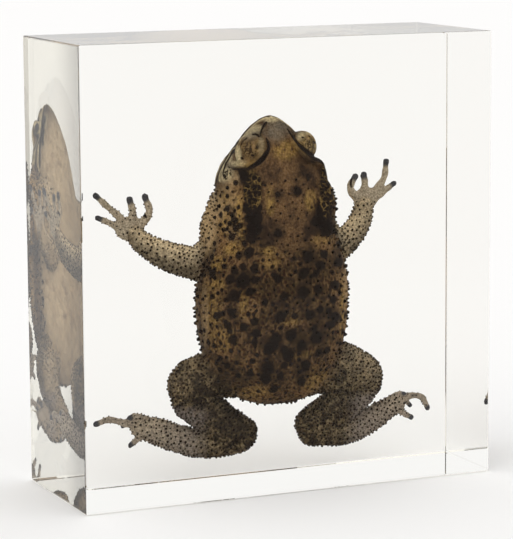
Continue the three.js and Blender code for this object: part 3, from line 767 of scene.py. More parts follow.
@dataclass(frozen=True)
class SkinFinish:
    """The toad's skin: its colours, laid out by the marks that are stored on the mesh."""

    umber: Colour = (0.040, 0.025, 0.017)
    brown: Colour = (0.228, 0.132, 0.062)
    ochre: Colour = (0.400, 0.255, 0.078)
    tan: Colour = (0.520, 0.370, 0.200)
    grey: Colour = (0.235, 0.200, 0.150)
    leg_deep: Colour = (0.030, 0.021, 0.014)
    leg_pale: Colour = (0.285, 0.212, 0.118)
    # A shaded copy of arm_pale: painted shade on the pale limbs' faces turned down.
    arm_painted_shade: Colour = (0.200, 0.165, 0.115)
    arm_pale: Colour = (0.810, 0.670, 0.460)
    belly: Colour = (0.570, 0.445, 0.285)
    belly_deep: Colour = (0.380, 0.270, 0.160)
    foot: Colour = (0.275, 0.235, 0.225)
    hand: Colour = (0.460, 0.395, 0.305)
    bone: Colour = (0.820, 0.700, 0.430)
    nail: Colour = (0.070, 0.070, 0.078)
    rust: Colour = (0.040, 0.018, 0.011)
    dusk: Colour = (0.026, 0.018, 0.013)
    black: Colour = (0.016, 0.0105, 0.0085)
    grain_low: Colour = (0.62, 0.60, 0.57)
    grain_high: Colour = (1.32, 1.30, 1.26)
    tan_share: float = 0.85
    shade_share: float = 0.66
    spot_share: float = 0.95
    dot_share: float = 0.72
    halo_share: float = 0.12
    roughness: float = 0.6
    gloss: float = 0.05
    bump: float = 0.5
    bump_height: float = 0.2

    def material(self) -> bpy.types.Material:
        """Builds the material.

        Returns:
            The material.
        """
        mat, shader = new_material("toad_skin")
        skin = SkinGrain(mat.node_tree)
        colour = skin.mix(skin.mark("limb"), self._trunk(skin), self._limb(skin))
        colour = skin.mix(skin.times(skin.mark("tan"), self.tan_share), colour, self.tan)
        mottled = skin.plus(skin.cloud, skin.swing(skin.mottle, 0.5))
        under = skin.mix(skin.ramp(mottled, 0.42, 0.78), self.belly, self.belly_deep)
        colour = skin.mix(skin.mark("belly"), colour, under)
        bare = skin.mix(skin.mark("paleness"), self.foot, self.hand)
        colour = skin.mix(skin.mark("bare"), colour, bare)
        colour = skin.mix(skin.mark("pale"), colour, self.bone)
        grain = skin.mix(skin.ramp(skin.fine, 0.32, 0.68), self.grain_low, self.grain_high)
        colour = skin.mix(1.0, colour, grain, "MULTIPLY")
        colour = self._markings(skin, colour)
        bump = {"Strength": self.bump, "Distance": self.bump_height * MM, "Height": skin.mottle}
        skin.feed(shader, {
            "Base Color": colour,
            "Roughness": self.roughness,
            "Specular IOR Level": self.gloss,
            "Normal": skin.add("ShaderNodeBump", bump).outputs["Normal"],
        })
        return mat

    def _markings(self, skin: SkinGrain, colour: Socket) -> Socket:
        """Draws the flecks, shades, spots, nets, lines, nails and spines over a colour.

        Args:
            skin: The material's nodes.
            colour: The ground.

        Returns:
            The finished colour.
        """
        flecks = skin.ramp(skin.plus(skin.fine, skin.times(skin.mottle, 0.8)), 0.86, 0.93)
        colour = skin.mix(skin.times(flecks, skin.mark("fleck")), colour, self.black)
        # The dark patches of the skin, and the painted shade of its folds, are laid in dusk.
        torn = skin.plus(skin.swing(skin.cloud, 2.0), skin.swing(skin.streaks, 1.2))
        shade = skin.ramp(skin.plus(skin.mark("shade"), torn), 0.10, 1.00)
        colour = skin.mix(skin.times(shade, self.shade_share), colour, self.dusk)
        spot = skin.ramp(skin.plus(skin.mark("spot"), skin.swing(skin.mottle, 0.6)), 0.27, 0.60)
        colour = skin.mix(skin.times(spot, self.spot_share), colour, self.black)
        threads = skin.times(skin.maths("POWER", skin.net, 2.0), skin.ramp(skin.mottle, 0.35, 0.80))
        netted = skin.mix(threads, self.black, self.ochre)
        reach = skin.ramp(skin.plus(skin.mark("net"), skin.swing(skin.mottle, 0.9)), 0.25, 0.75)
        colour = skin.mix(reach, colour, netted)
        edge = skin.swing(skin.fine, 0.6)
        # The head's dark lines, and the painted shade along the slit of the mouth.
        colour = skin.mix(skin.ramp(skin.plus(skin.mark("ink_and_slit_shade"), edge), -0.35, 0.35), colour, self.black)
        colour = skin.mix(skin.ramp(skin.plus(skin.mark("tip"), edge), 0.1, 0.9), colour, self.nail)
        return skin.mix(skin.mark("spine"), colour, self.black)

    def _trunk(self, skin: SkinGrain) -> Socket:
        """Colours the ground of the head and trunk.

        Args:
            skin: The material's nodes.

        Returns:
            The colour.
        """
        rough = skin.maths("SUBTRACT", 1.0, skin.mark("smooth"))
        depth = skin.plus(skin.times(rough, 1.6), 0.8)
        drift = skin.plus(skin.swing(skin.cloud, 2.4), -0.10)
        drift = skin.plus(drift, skin.times(skin.maths("SUBTRACT", skin.streaks, 0.5), depth))
        drift = skin.plus(drift, skin.times(skin.net, 0.10))
        ground = skin.mix(skin.plus(skin.mark("light"), drift, clamp=True), self.umber, self.brown)
        gold = skin.times(skin.mark("gold"), skin.ramp(skin.streaks, 0.30, 0.62))
        ground = skin.mix(gold, ground, self.ochre)
        ground = skin.mix(skin.mark("grey"), ground, self.grey)
        dot, halo = skin.dots(*skin.TRUNK_DOTS)
        ground = skin.mix(skin.times(skin.times(halo, self.halo_share), rough), ground, self.ochre)
        return skin.mix(skin.times(skin.times(dot, self.dot_share), rough), ground, self.rust)

    def _limb(self, skin: SkinGrain) -> Socket:
        """Colours the limbs: dark and netted where not pale; where pale, painted light on top and painted
        shade below.

        Args:
            skin: The material's nodes.

        Returns:
            The colour.
        """
        deep = skin.plus(skin.swing(skin.cloud, 2.6), skin.swing(skin.mottle, 1.6))
        leg = skin.plus(skin.times(skin.network(skin.LEG_NET), 0.45), deep)
        leg = skin.plus(leg, skin.times(skin.mark("light"), 0.8))
        leg = skin.mix(skin.plus(leg, -0.04, clamp=True), self.leg_deep, self.leg_pale)
        leg = skin.mix(skin.times(skin.dots(*skin.LEG_BLOTS)[0], self.dot_share), leg, self.dusk)
        # Painted light and shade: the pale limbs' colour is lighter on faces turned up and falls to a
        # shaded copy on faces turned down.
        above = skin.plus(skin.mark("above"), skin.maths("SUBTRACT", skin.mottle, 0.5), clamp=True)
        return skin.mix(skin.mark("paleness"), leg, skin.mix(above, self.arm_painted_shade, self.arm_pale))


@dataclass(frozen=True)
class ResinFinish:
    """Clear cast resin: smooth, and slightly warm where it is looked at edgeways.

    The left face, at side_at, has painted shade on its colour, standing in for the darker surroundings
    that the real face reflects: it grows darker from one given depth to another at the face's front edge.
    Places are in millimetres.
    """

    ior: float = 1.54
    tint: Colour = (0.900, 0.885, 0.815)
    density: float = 10.0
    sheen_level: float = 0.15
    side_at: float = -47.3
    # Where the painted shade of the left face starts and ends, and its dark colour.
    painted_shade_from: float = -17.5
    painted_shade_to: float = -1.0
    painted_shade: Colour = (0.42, 0.415, 0.42)

    def material(self) -> bpy.types.Material:
        """Builds the material.

        Returns:
            The material.
        """
        mat, shader = new_material("clear_resin")
        tree = Nodes(mat.node_tree)
        where = tree.add("ShaderNodeTexCoord").outputs["Object"]
        # Painted shade: the left face is darkened towards its front edge, in place of a darker reflection.
        side = tree.ramp(tree.part(where, "X"), self.side_at * MM, (self.side_at - 0.1) * MM)
        painted_shade = tree.times(side, tree.ramp(tree.part(where, "Y"), self.painted_shade_to * MM, self.painted_shade_from * MM))
        tree.feed(shader, {
            "Base Color": tree.mix(painted_shade, (1.0, 1.0, 1.0), self.painted_shade),
            "Roughness": 0.0,
            "IOR": self.ior,
            "Transmission Weight": 1.0,
            "Specular Tint": (self.sheen_level,) * 3,
        })
        depth = tree.add("ShaderNodeVolumeAbsorption", {"Color": self.tint, "Density": self.density})
        tree.feed(mat.node_tree.nodes["Material Output"], {"Volume": depth.outputs["Volume"]})
        return mat


@dataclass(frozen=True)
class PaperFinish:
    """The pale matt sheet that the block stands on."""

    colour: Colour = (0.90, 0.90, 0.905)
    roughness: float = 0.9
    gloss: float = 0.1

    def material(self) -> bpy.types.Material:
        """Builds the material.

        Returns:
            The material.
        """
        mat, shader = new_material("pale_paper")
        look = {"Base Color": self.colour, "Roughness": self.roughness, "Specular IOR Level": self.gloss}
        Nodes(mat.node_tree).feed(shader, look)
        return mat


@dataclass
class ToadBody:
    """The toad's skin as one mesh, and the marks that its colours are read from.

    Sizes are in millimetres, and a ring's sizes and edge are shares of a wart's radius and of its own.
    """

    sections: tuple[Section, ...] = SECTIONS
    voxel: float = 0.36
    sides: int = 80
    rings: int = 120
    seed: int = 7
    widest_y: float = 2.5
    roundness: float = 0.92
    blend_passes: int = 9
    blend_shares: tuple[float, float] = (0.52, -0.54)
    limb_spacing: float = 0.70
    trunk_spacing: float = 1.30
    wart_radii: tuple[float, float] = (0.24, 0.44)
    fold_depth: float = 0.25
    slit_depth: float = 0.30
    lip_rise: float = 0.15
    lip_at: float = 0.85
    wart_gaps: tuple[float, float] = (0.70, 1.45)
    plain_share: float = 0.45
    ring_sizes: tuple[float, float] = (0.8, 1.7)
    ring_edge: float = 1.6
    ring_dark: float = 0.75
    lump_lift: float = 0.14
    grain_lift: float = 0.07
    belly_lift: float = 0.05
    spot_ring: float = 0.42
    slit_reach: float = 0.55
    # How far the painted shade along the slit of the mouth reaches.
    slit_painted_shade: float = 0.46
    pull_reach: float = 0.7
    pale_reach: float = 0.8
    marks: dict[str, np.ndarray] = field(default_factory=dict)
    places: np.ndarray = field(init=False)
    normals: np.ndarray = field(init=False)
    across: np.ndarray = field(init=False)
    up: np.ndarray = field(init=False)
    facing: np.ndarray = field(init=False)

    def build(self) -> bpy.types.Mesh:
        """Joins the forms, blends them, raises the relief and stores the marks.

        Returns:
            The finished mesh in metres.
        """
        pile = MeshPile()
        self._add_trunk(pile)
        for tubes, sides, steps in ((LIMBS, 28, 26), (DIGITS, 14, 18), (RIDGES, 12, 30)):
            for tube in tubes:
                self._add_tube(pile, tube, sides, steps)
        for dome in (*DOMES, *PALMS):
            self._add_dome(pile, dome)
        forms = (*LIMBS, *DIGITS, *RIDGES, *DOMES, *PALMS)
        LOG.info("toad forms: %s", ", ".join(form.name for form in forms))
        rough = place("toad_forms", pile.mesh("toad_forms"))
        remesh = rough.modifiers.new("join", "REMESH")
        remesh.mode = "VOXEL"
        remesh.voxel_size = self.voxel * MM
        data = plain_mesh(rough, "toad_skin")
        bpy.data.objects.remove(rough)
        self._blend(data)
        self._measure_regions()
        self._look()
        self._choose_warts()
        self._raise_relief(data)
        self._store(data)
        LOG.info("toad skin: %d faces", len(data.polygons))
        return data

    def _add_trunk(self, pile: MeshPile) -> None:
        """Adds the head and trunk.

        Args:
            pile: Where its shell goes.
        """
        rows = np.array([astuple(section) for section in self.sections])
        rings = []
        angles = np.linspace(0.0, 2.0 * math.pi, self.sides, endpoint=False)
        across = np.sign(np.cos(angles)) * np.abs(np.cos(angles)) ** self.roundness
        depth = np.sign(np.sin(angles)) * np.abs(np.sin(angles)) ** self.roundness
        for z, x, half, back, belly in through_points(rows, self.rings):
            widest = min(self.widest_y, (back + belly) / 2.0)
            reach = np.where(depth < 0.0, widest - back, belly - widest)
            y = widest + depth * reach
            rings.append(np.stack([x + across * half, y, np.full_like(across, z)], axis=1))
        top = self.sections[0]
        bottom = self.sections[-1]
        snout = np.array([top.x, (top.back + top.belly) / 2.0, top.z + 0.4])
        vent = np.array([bottom.x, (bottom.back + bottom.belly) / 2.0, bottom.z - 0.5])
        pile.add_rings(rings, snout, vent)

    @staticmethod
    def _add_tube(pile: MeshPile, tube: Tube, sides: int, steps: int) -> None:
        """Adds one limb, digit or ridge with round ends.

        Args:
            pile: Where its shell goes.
            tube: The limb, digit or ridge.
            sides: How many points a ring has.
            steps: How many steps there are along it.
        """
        line = through_points(sized(tube.points, tube.radii), steps)
        centres = line[:, :3]
        radii = line[:, 3].copy()
        if tube.knuckles:
            t = np.linspace(0.0, 1.0, steps + 1)
            wave = 2.0 * math.pi * (tube.knuckles + 0.5) * t + math.pi * 0.5
            radii *= 1.0 + KNUCKLE_SWELL * np.cos(wave)
            radii *= 1.0 + TIP_SWELL * smoothstep(0.82, 1.0, t)
        tangents = np.gradient(centres, axis=0)
        tangents /= np.linalg.norm(tangents, axis=1)[:, None]
        side = np.cross(tangents[0], (0.0, 1.0, 0.0))
        angles = np.linspace(0.0, 2.0 * math.pi, sides, endpoint=False)

        def ring(i: int, radius: float, along: float) -> np.ndarray:
            """Gives one ring, moved a little along the tube.

            Args:
                i: Which step the ring belongs to.
                radius: Its radius.
                along: How far it is moved along the tube.

            Returns:
                The ring's points.
            """
            first = side - tangents[i] * (side @ tangents[i])
            first /= np.linalg.norm(first)
            second = np.cross(tangents[i], first)
            offset = radius * (np.cos(angles)[:, None] * first + np.sin(angles)[:, None] * second)
            offset[:, 1] *= tube.flat
            return centres[i] + tangents[i] * along + offset

        cap = [(math.cos(a), math.sin(a)) for a in CAP_ANGLES]
        rings = [ring(0, radii[0] * wide, -radii[0] * out) for wide, out in cap]
        rings += [ring(i, radii[i], 0.0) for i in range(steps + 1)]
        rings += [ring(steps, radii[-1] * wide, radii[-1] * out) for wide, out in reversed(cap)]
        pile.add_rings(rings, centres[0] - tangents[0] * radii[0], centres[-1] + tangents[-1] * radii[-1])

    @staticmethod
    def _add_dome(pile: MeshPile, dome: Dome) -> None:
        """Adds one rounded lump.

        Args:
            pile: Where its shell goes.
            dome: The lump.
        """
        bm = bmesh.new()
        bmesh.ops.create_icosphere(bm, subdivisions=4, radius=1.0)
        vertices = np.array([v.co for v in bm.verts]) * np.array(dome.size) + np.array(dome.at)
        faces = [tuple(v.index for v in f.verts) for f in bm.faces]
        bm.free()
        pile.add(vertices, faces)

    def _read(self, data: bpy.types.Mesh) -> None:
        """Takes the vertices and normals, in millimetres, off the mesh.

        Args:
            data: The mesh.
        """
        count = len(data.vertices)
        flat = np.empty(count * 3)
        data.vertices.foreach_get("co", flat)
        self.places = flat.reshape(-1, 3) / MM
        data.vertices.foreach_get("normal", flat)
        self.normals = flat.reshape(-1, 3).copy()

    @staticmethod
    def _write(data: bpy.types.Mesh, places: np.ndarray) -> None:
        """Puts vertices in millimetres back on the mesh."""
        data.vertices.foreach_set("co", (places * MM).ravel())
        data.update()

    def _blend(self, data: bpy.types.Mesh) -> None:
        """Softens the voxels' steps and the creases between the forms, without thinning the digits.

        Args:
            data: The mesh, which is changed.
        """
        self._read(data)
        edges = np.empty(len(data.edges) * 2, dtype=np.int64)
        data.edges.foreach_get("vertices", edges)
        a, b = edges.reshape(-1, 2).T
        count = len(self.places)
        degree = np.bincount(a, minlength=count) + np.bincount(b, minlength=count)
        places = self.places.copy()
        for _ in range(self.blend_passes):
            for share in self.blend_shares:
                total = np.zeros_like(places)
                for axis in range(3):
                    one = places[:, axis]
                    total[:, axis] = np.bincount(a, one[b], count) + np.bincount(b, one[a], count)
                places += share * (total / degree[:, None] - places)
        self._write(data, places)
        self._read(data)

    def _distance(self, tube: Tube) -> tuple[np.ndarray, np.ndarray]:
        """Measures the skin against a tube.

        Args:
            tube: The limb or digit.

        Returns:
            How far each place lies outside the tube, in millimetres, and the skin's paleness there.
        """
        rows = through_points(sized(tube.points, tube.radii), 8)
        best = np.full(len(self.places), FAR)
        along_tube = np.zeros(len(self.places))
        for i, (start, end) in enumerate(zip(rows[:-1], rows[1:])):
            along = end[:3] - start[:3]
            out = self.places - start[:3]
            t = np.clip((out @ along) / (along @ along), 0.0, 1.0)
            gap = np.linalg.norm(out - t[:, None] * along, axis=1) - (start[3] + t * (end[3] - start[3]))
            along_tube = np.where(gap < best, (i + t) / (len(rows) - 1), along_tube)
            best = np.minimum(best, gap)
        first, last = tube.paleness
        return best, first + along_tube * (last - first)

    def _trunk_distance(self) -> np.ndarray:
        """Measures the skin roughly against the trunk.

        Returns:
            How far each place lies outside the trunk, in millimetres.
        """
        rows = np.array([astuple(section) for section in reversed(self.sections)])
        x, y, z = self.places.T
        middle, half, back, belly = (np.interp(z, rows[:, 0], rows[:, i]) for i in (1, 2, 3, 4))
        widest = np.minimum(self.widest_y, (back + belly) / 2.0)
        reach = np.where(y < widest, widest - back, belly - widest)
        radial = np.hypot((x - middle) / half, (y - widest) / reach)
        above = np.maximum(z - rows[-1, 0], 0.0) + np.maximum(rows[0, 0] - z, 0.0)
        return (radial - 1.0) * np.minimum(half, reach) + above

    def _measure_regions(self) -> None:
        """Stores how much each place belongs to the limbs, the hands and feet, and the belly."""
        limbs = [self._distance(tube) for tube in LIMBS]
        digits = [self._distance(tube) for tube in DIGITS]
        gaps = {
            Region.TRUNK: self._trunk_distance(),
            Region.LIMB: np.min([gap for gap, _ in limbs], axis=0),
            Region.HAND: np.min([gap for gap, _ in digits], axis=0),
        }
        for palm in PALMS:
            far = np.linalg.norm((self.places - palm.at) / palm.size, axis=1)
            gaps[Region.HAND] = np.minimum(gaps[Region.HAND], (far - 1.0) * 1.5)
        pull = {region: closeness(gap, self.pull_reach) for region, gap in gaps.items()}
        total = sum(pull.values())
        hand = pull[Region.HAND] / total
        weights = [closeness(gap, self.pale_reach) + 1e-12 for gap, _ in (*limbs, *digits)]
        paleness = sum(weight * pale for weight, (_, pale) in zip(weights, (*limbs, *digits)))
        y = self.places[:, 1]
        tips = np.zeros(len(y))
        for tube in DIGITS:
            gap = np.linalg.norm(self.places - np.array(tube.points[-1]), axis=1)
            tips = np.maximum(tips, smoothstep(0.5 + 1.4 * tube.paleness[1], 0.5, gap))
        limb = pull[Region.LIMB] / total
        under = smoothstep(-0.1, 0.6, self.normals[:, 1]) * smoothstep(-2.0, 4.0, y)
        self.marks["limb"] = limb
        self.marks["hand"] = smoothstep(0.25, 0.75, hand)
        x, _, z = self.places.T
        foot = smoothstep(15.0, 21.0, np.abs(x - 2.0)) * smoothstep(19.0, 16.0, z)
        self.marks["bare"] = np.maximum(self.marks["hand"], 0.75 * foot)
        self.marks["paleness"] = paleness / sum(weights)
        # Painted light: how much each place faces up, which lightens the pale limbs' colour from above.
        self.marks["above"] = smoothstep(-0.5, 0.9, self.normals[:, 2])
        self.marks["belly"] = under * (1.0 - 0.35 * limb) * (1.0 - self.marks["hand"])
        self.marks["tip"] = tips

    def _look(self) -> None:
        """Works out where each place shows in a view from the front, at the depth of the back."""
        depth = self.places[:, 1] - BACK_Y
        self.across = self.places[:, 0] - VIEW_SLOPE_X * depth
        self.up = self.places[:, 2] - VIEW_SLOPE_Z * depth
        self.facing = smoothstep(0.7, 0.3, self.normals[:, 1])

    def _choose_warts(self) -> None:
        """Spreads warts over the trunk and finer ones over the limbs, each clear of the next."""
        random = np.random.default_rng(self.seed)
        limb = np.clip(self.marks["limb"] + self.marks["hand"], 0.0, 1.0)
        on_limb = limb > 0.5
        hand = self.marks["hand"]
        head = smoothstep(65.0, 67.5, self.up + 0.35 * np.maximum(self.across - 6.0, 0.0))
        nape = smoothstep(8.0, 5.5, np.abs(self.across - NAPE_X)) * smoothstep(50.0, 55.0, self.up)
        nape *= self.facing
        spacing = np.where(on_limb, self.limb_spacing + 0.10 * self.marks["paleness"], self.trunk_spacing)
        chance = smoothstep(0.75, 0.35, self.marks["belly"]) * (1.0 - 0.72 * hand)
        chance *= (1.0 - head) * (1.0 - 0.85 * nape) * (1.0 - smoothstep(0.0, 0.3, self.marks["tip"]))
        tree = KDTree(len(self.places))
        for i, spot in enumerate(self.places):
            tree.insert(spot, i)
        tree.balance()
        free = np.ones(len(self.places), dtype=bool)
        chosen = []
        for i in random.permutation(len(self.places)):
            if not free[i] or random.random() > chance[i]:
                continue
            chosen.append(i)
            reach = spacing[i] * random.uniform(*self.wart_gaps)
            free[[hit[1] for hit in tree.find_range(self.places[i], reach)]] = False
        chosen = np.array(chosen)
        small = random.uniform(*self.wart_radii, len(chosen)) * (1.0 - 0.35 * hand[chosen])
        edge = smoothstep(0.45, 0.85, np.abs(self.normals[chosen, 0]))
        large = random.uniform(*self.wart_radii, len(chosen)) * (1.0 + 0.30 * edge)
        size = np.where(on_limb[chosen], small, large)
        spot = np.zeros(len(self.places))
        for i, each in zip(chosen[~on_limb[chosen]], size[~on_limb[chosen]]):
            if random.random() < self.plain_share:
                continue
            ring = each * random.uniform(*self.ring_sizes)
            dark = self.ring_dark * (1.0 - 0.9 * nape[i])
            for _, near, gap in tree.find_range(self.places[i], ring * self.ring_edge):
                here = dark * float(smoothstep(self.ring_edge, 0.6, np.array(gap / ring)))
                spot[near] = max(spot[near], here)
        for name, picked in (("wart", ~on_limb), ("granule", on_limb)):
            self.marks[name] = np.zeros(len(self.places))
            self.marks[name][chosen] = np.where(picked[chosen], size, 0.0)
        self.marks["spot"] = spot
        self.marks["smooth"] = np.clip(np.maximum(head, nape) + self.marks["belly"], 0.0, 1.0)
        few, many = (~on_limb[chosen]).sum(), on_limb[chosen].sum()
        LOG.info("toad warts: %d on the trunk, %d on the limbs", few, many)

    def _patches(self, tone: Tone) -> np.ndarray:
        """Lays the soft patches of one tone.

        Args:
            tone: The tone.

        Returns:
            How strongly the patches colour each place.
        """
        total = np.zeros(len(self.places))
        for patch in PATCHES:
            if patch.tone is tone:
                far = np.hypot((self.across - patch.x) / patch.wide, (self.up - patch.z) / patch.high)
                total = np.maximum(total, patch.strength * smoothstep(1.25, 0.35, far))
        return total * self.facing

    def _lines(self, lines: tuple[Line, ...]) -> tuple[np.ndarray, np.ndarray]:
        """Measures places against lines seen from the front.

        Args:
            lines: The lines.

        Returns:
            How far each place lies from the nearest line, in its half widths, and the line's strength.
        """
        best = np.full(len(self.places), OFF_LINE)
        strength = np.zeros(len(self.places))
        seen = np.stack([self.across, self.up], axis=1)
        for line in lines:
            path = through_points(sized(line.path, line.widths), 4 * len(line.path))
            for start, end in zip(path[:-1], path[1:]):
                gap = gap_to_line(seen, start[:2], end[:2]) / max((start[2] + end[2]) / 2.0, 0.05)
                strength = np.where(gap < best, line.strength, strength)
                best = np.minimum(best, gap)
        return np.where(self.facing > 0.5, best, OFF_LINE), strength

    def _noise(self, size: float, seed: float) -> np.ndarray:
        """Gives smooth noise from about -1 to 1 at every vertex, with lumps of a size in millimetres."""
        shift = Vector((seed, seed * 1.7, -seed))
        return np.array([noise.noise(Vector(at) / size + shift) for at in self.places])

    def _mouth(self) -> tuple[np.ndarray, np.ndarray]:
        """Measures the slit of the mouth on both sides of the head.

        Returns:
            How far each place lies from the slit, in millimetres, and 1 where it is on the upper lip.
        """
        gap = np.full(len(self.places), FAR)
        upper = np.zeros(len(self.places))
        for side in (1.0, -1.0):
            path = np.array(MOUTH)
            path[:, 0] = MOUTH_MIDDLE_X + side * (path[:, 0] - MOUTH_MIDDLE_X)
            path = through_points(path, 40)
            for start, end in zip(path[:-1], path[1:]):
                here = gap_to_line(self.places, start, end)
                upper = np.where(here < gap, self.places[:, 1] < (start[1] + end[1]) / 2.0, upper)
                gap = np.minimum(gap, here)
        return gap, upper

    def _raise_relief(self, data: bpy.types.Mesh) -> None:
        """Moves the skin in and out for its lumps, folds and pits, and stores the marks of its colours.

        Args:
            data: The mesh, which is changed.
        """
        belly = self.marks["belly"]
        hand = self.marks["hand"]
        coarse = self._noise(3.2, 3.1)
        fine = self._noise(1.1, 8.7)
        lift = self.lump_lift * coarse * (1.0 - hand) + self.grain_lift * fine * (1.0 - 0.6 * hand)
        spot = self.marks["spot"]
        for mark in SPOTS:
            gap = np.hypot(self.across - mark.x, self.up - mark.z) * (1.0 + 0.25 * fine) / mark.radius
            core = smoothstep(1.05, 0.60, gap)
            near = np.maximum(core, self.spot_ring * smoothstep(1.9, 0.8, gap)) * self.facing
            lift += (0.08 + 0.12 * mark.radius) * near * (self.up < 66.0)
            spot = np.maximum(spot, mark.strength * near)
        ink_and_slit_shade = 1.0 - self._lines(LINES)[0]
        # The folds: grooved in, and darkened along their lines as painted shade in the creases.
        far, strength = self._lines(FOLDS)
        shade = strength * smoothstep(1.5, 0.2, far)
        lift -= self.fold_depth * shade
        gap, upper = self._mouth()
        lift -= self.slit_depth * smoothstep(self.slit_reach, 0.0, gap)
        lift += self.lip_rise * hump(self.lip_at, 0.35, gap)
        # The slit of the mouth is drawn dark along its length: painted shade in the groove, stored with
        # the dark lines.
        ink_and_slit_shade = np.maximum(ink_and_slit_shade, 1.0 - gap / self.slit_painted_shade)
        pale = 0.8 * upper * hump(self.lip_at, 0.25, gap)
        far, strength = self._lines(LIPS)
        pale = np.maximum(pale, strength * smoothstep(1.6, 0.5, far))
        lid = np.hypot((self.across - LID_AT[0]) / LID_SIZE[0], (self.up - LID_AT[1]) / LID_SIZE[1])
        lift += self.facing * (0.20 * hump(0.90, 0.07, lid) - 0.30 * hump(1.04, 0.06, lid))
        for tone in Tone:
            self.marks[tone.value] = np.clip(self._patches(tone), 0.0, 1.0)
        limb = self.marks["limb"]
        self.marks["light"] = np.clip(0.12 + self.marks["light"], 0.0, 1.0)
        gold = np.clip(self.marks["gold"] + 0.10 * self._noise(4.0, 1.3), 0.0, 1.0)
        self.marks["gold"] = gold * (1.0 - limb)
        # The folds' painted shade joins the dark patches of the skin.
        self.marks["shade"] = np.maximum(self.marks["shade"], shade)
        self.marks["spot"] = np.clip(spot, 0.0, 1.0) * (1.0 - limb)
        self.marks["ink_and_slit_shade"] = np.clip(ink_and_slit_shade, -1.0, 1.0)
        self.marks["pale"] = np.clip(np.maximum(pale, self.marks["pale"]), 0.0, 0.9)
        lift += self.belly_lift * belly * np.abs(self._noise(0.8, 2.2))
        self._write(data, self.places + self.normals * lift[:, None])
        self._read(data)

    def _store(self, data: bpy.types.Mesh) -> None:
        """Stores the marks on the mesh as named numbers, and smooths its shading.

        Args:
            data: The mesh, which is changed.
        """
        for name, values in self.marks.items():
            layer = data.attributes.new(name, "FLOAT", "POINT")
            layer.data.foreach_set("value", values.astype(np.float32))
        smooth(data)


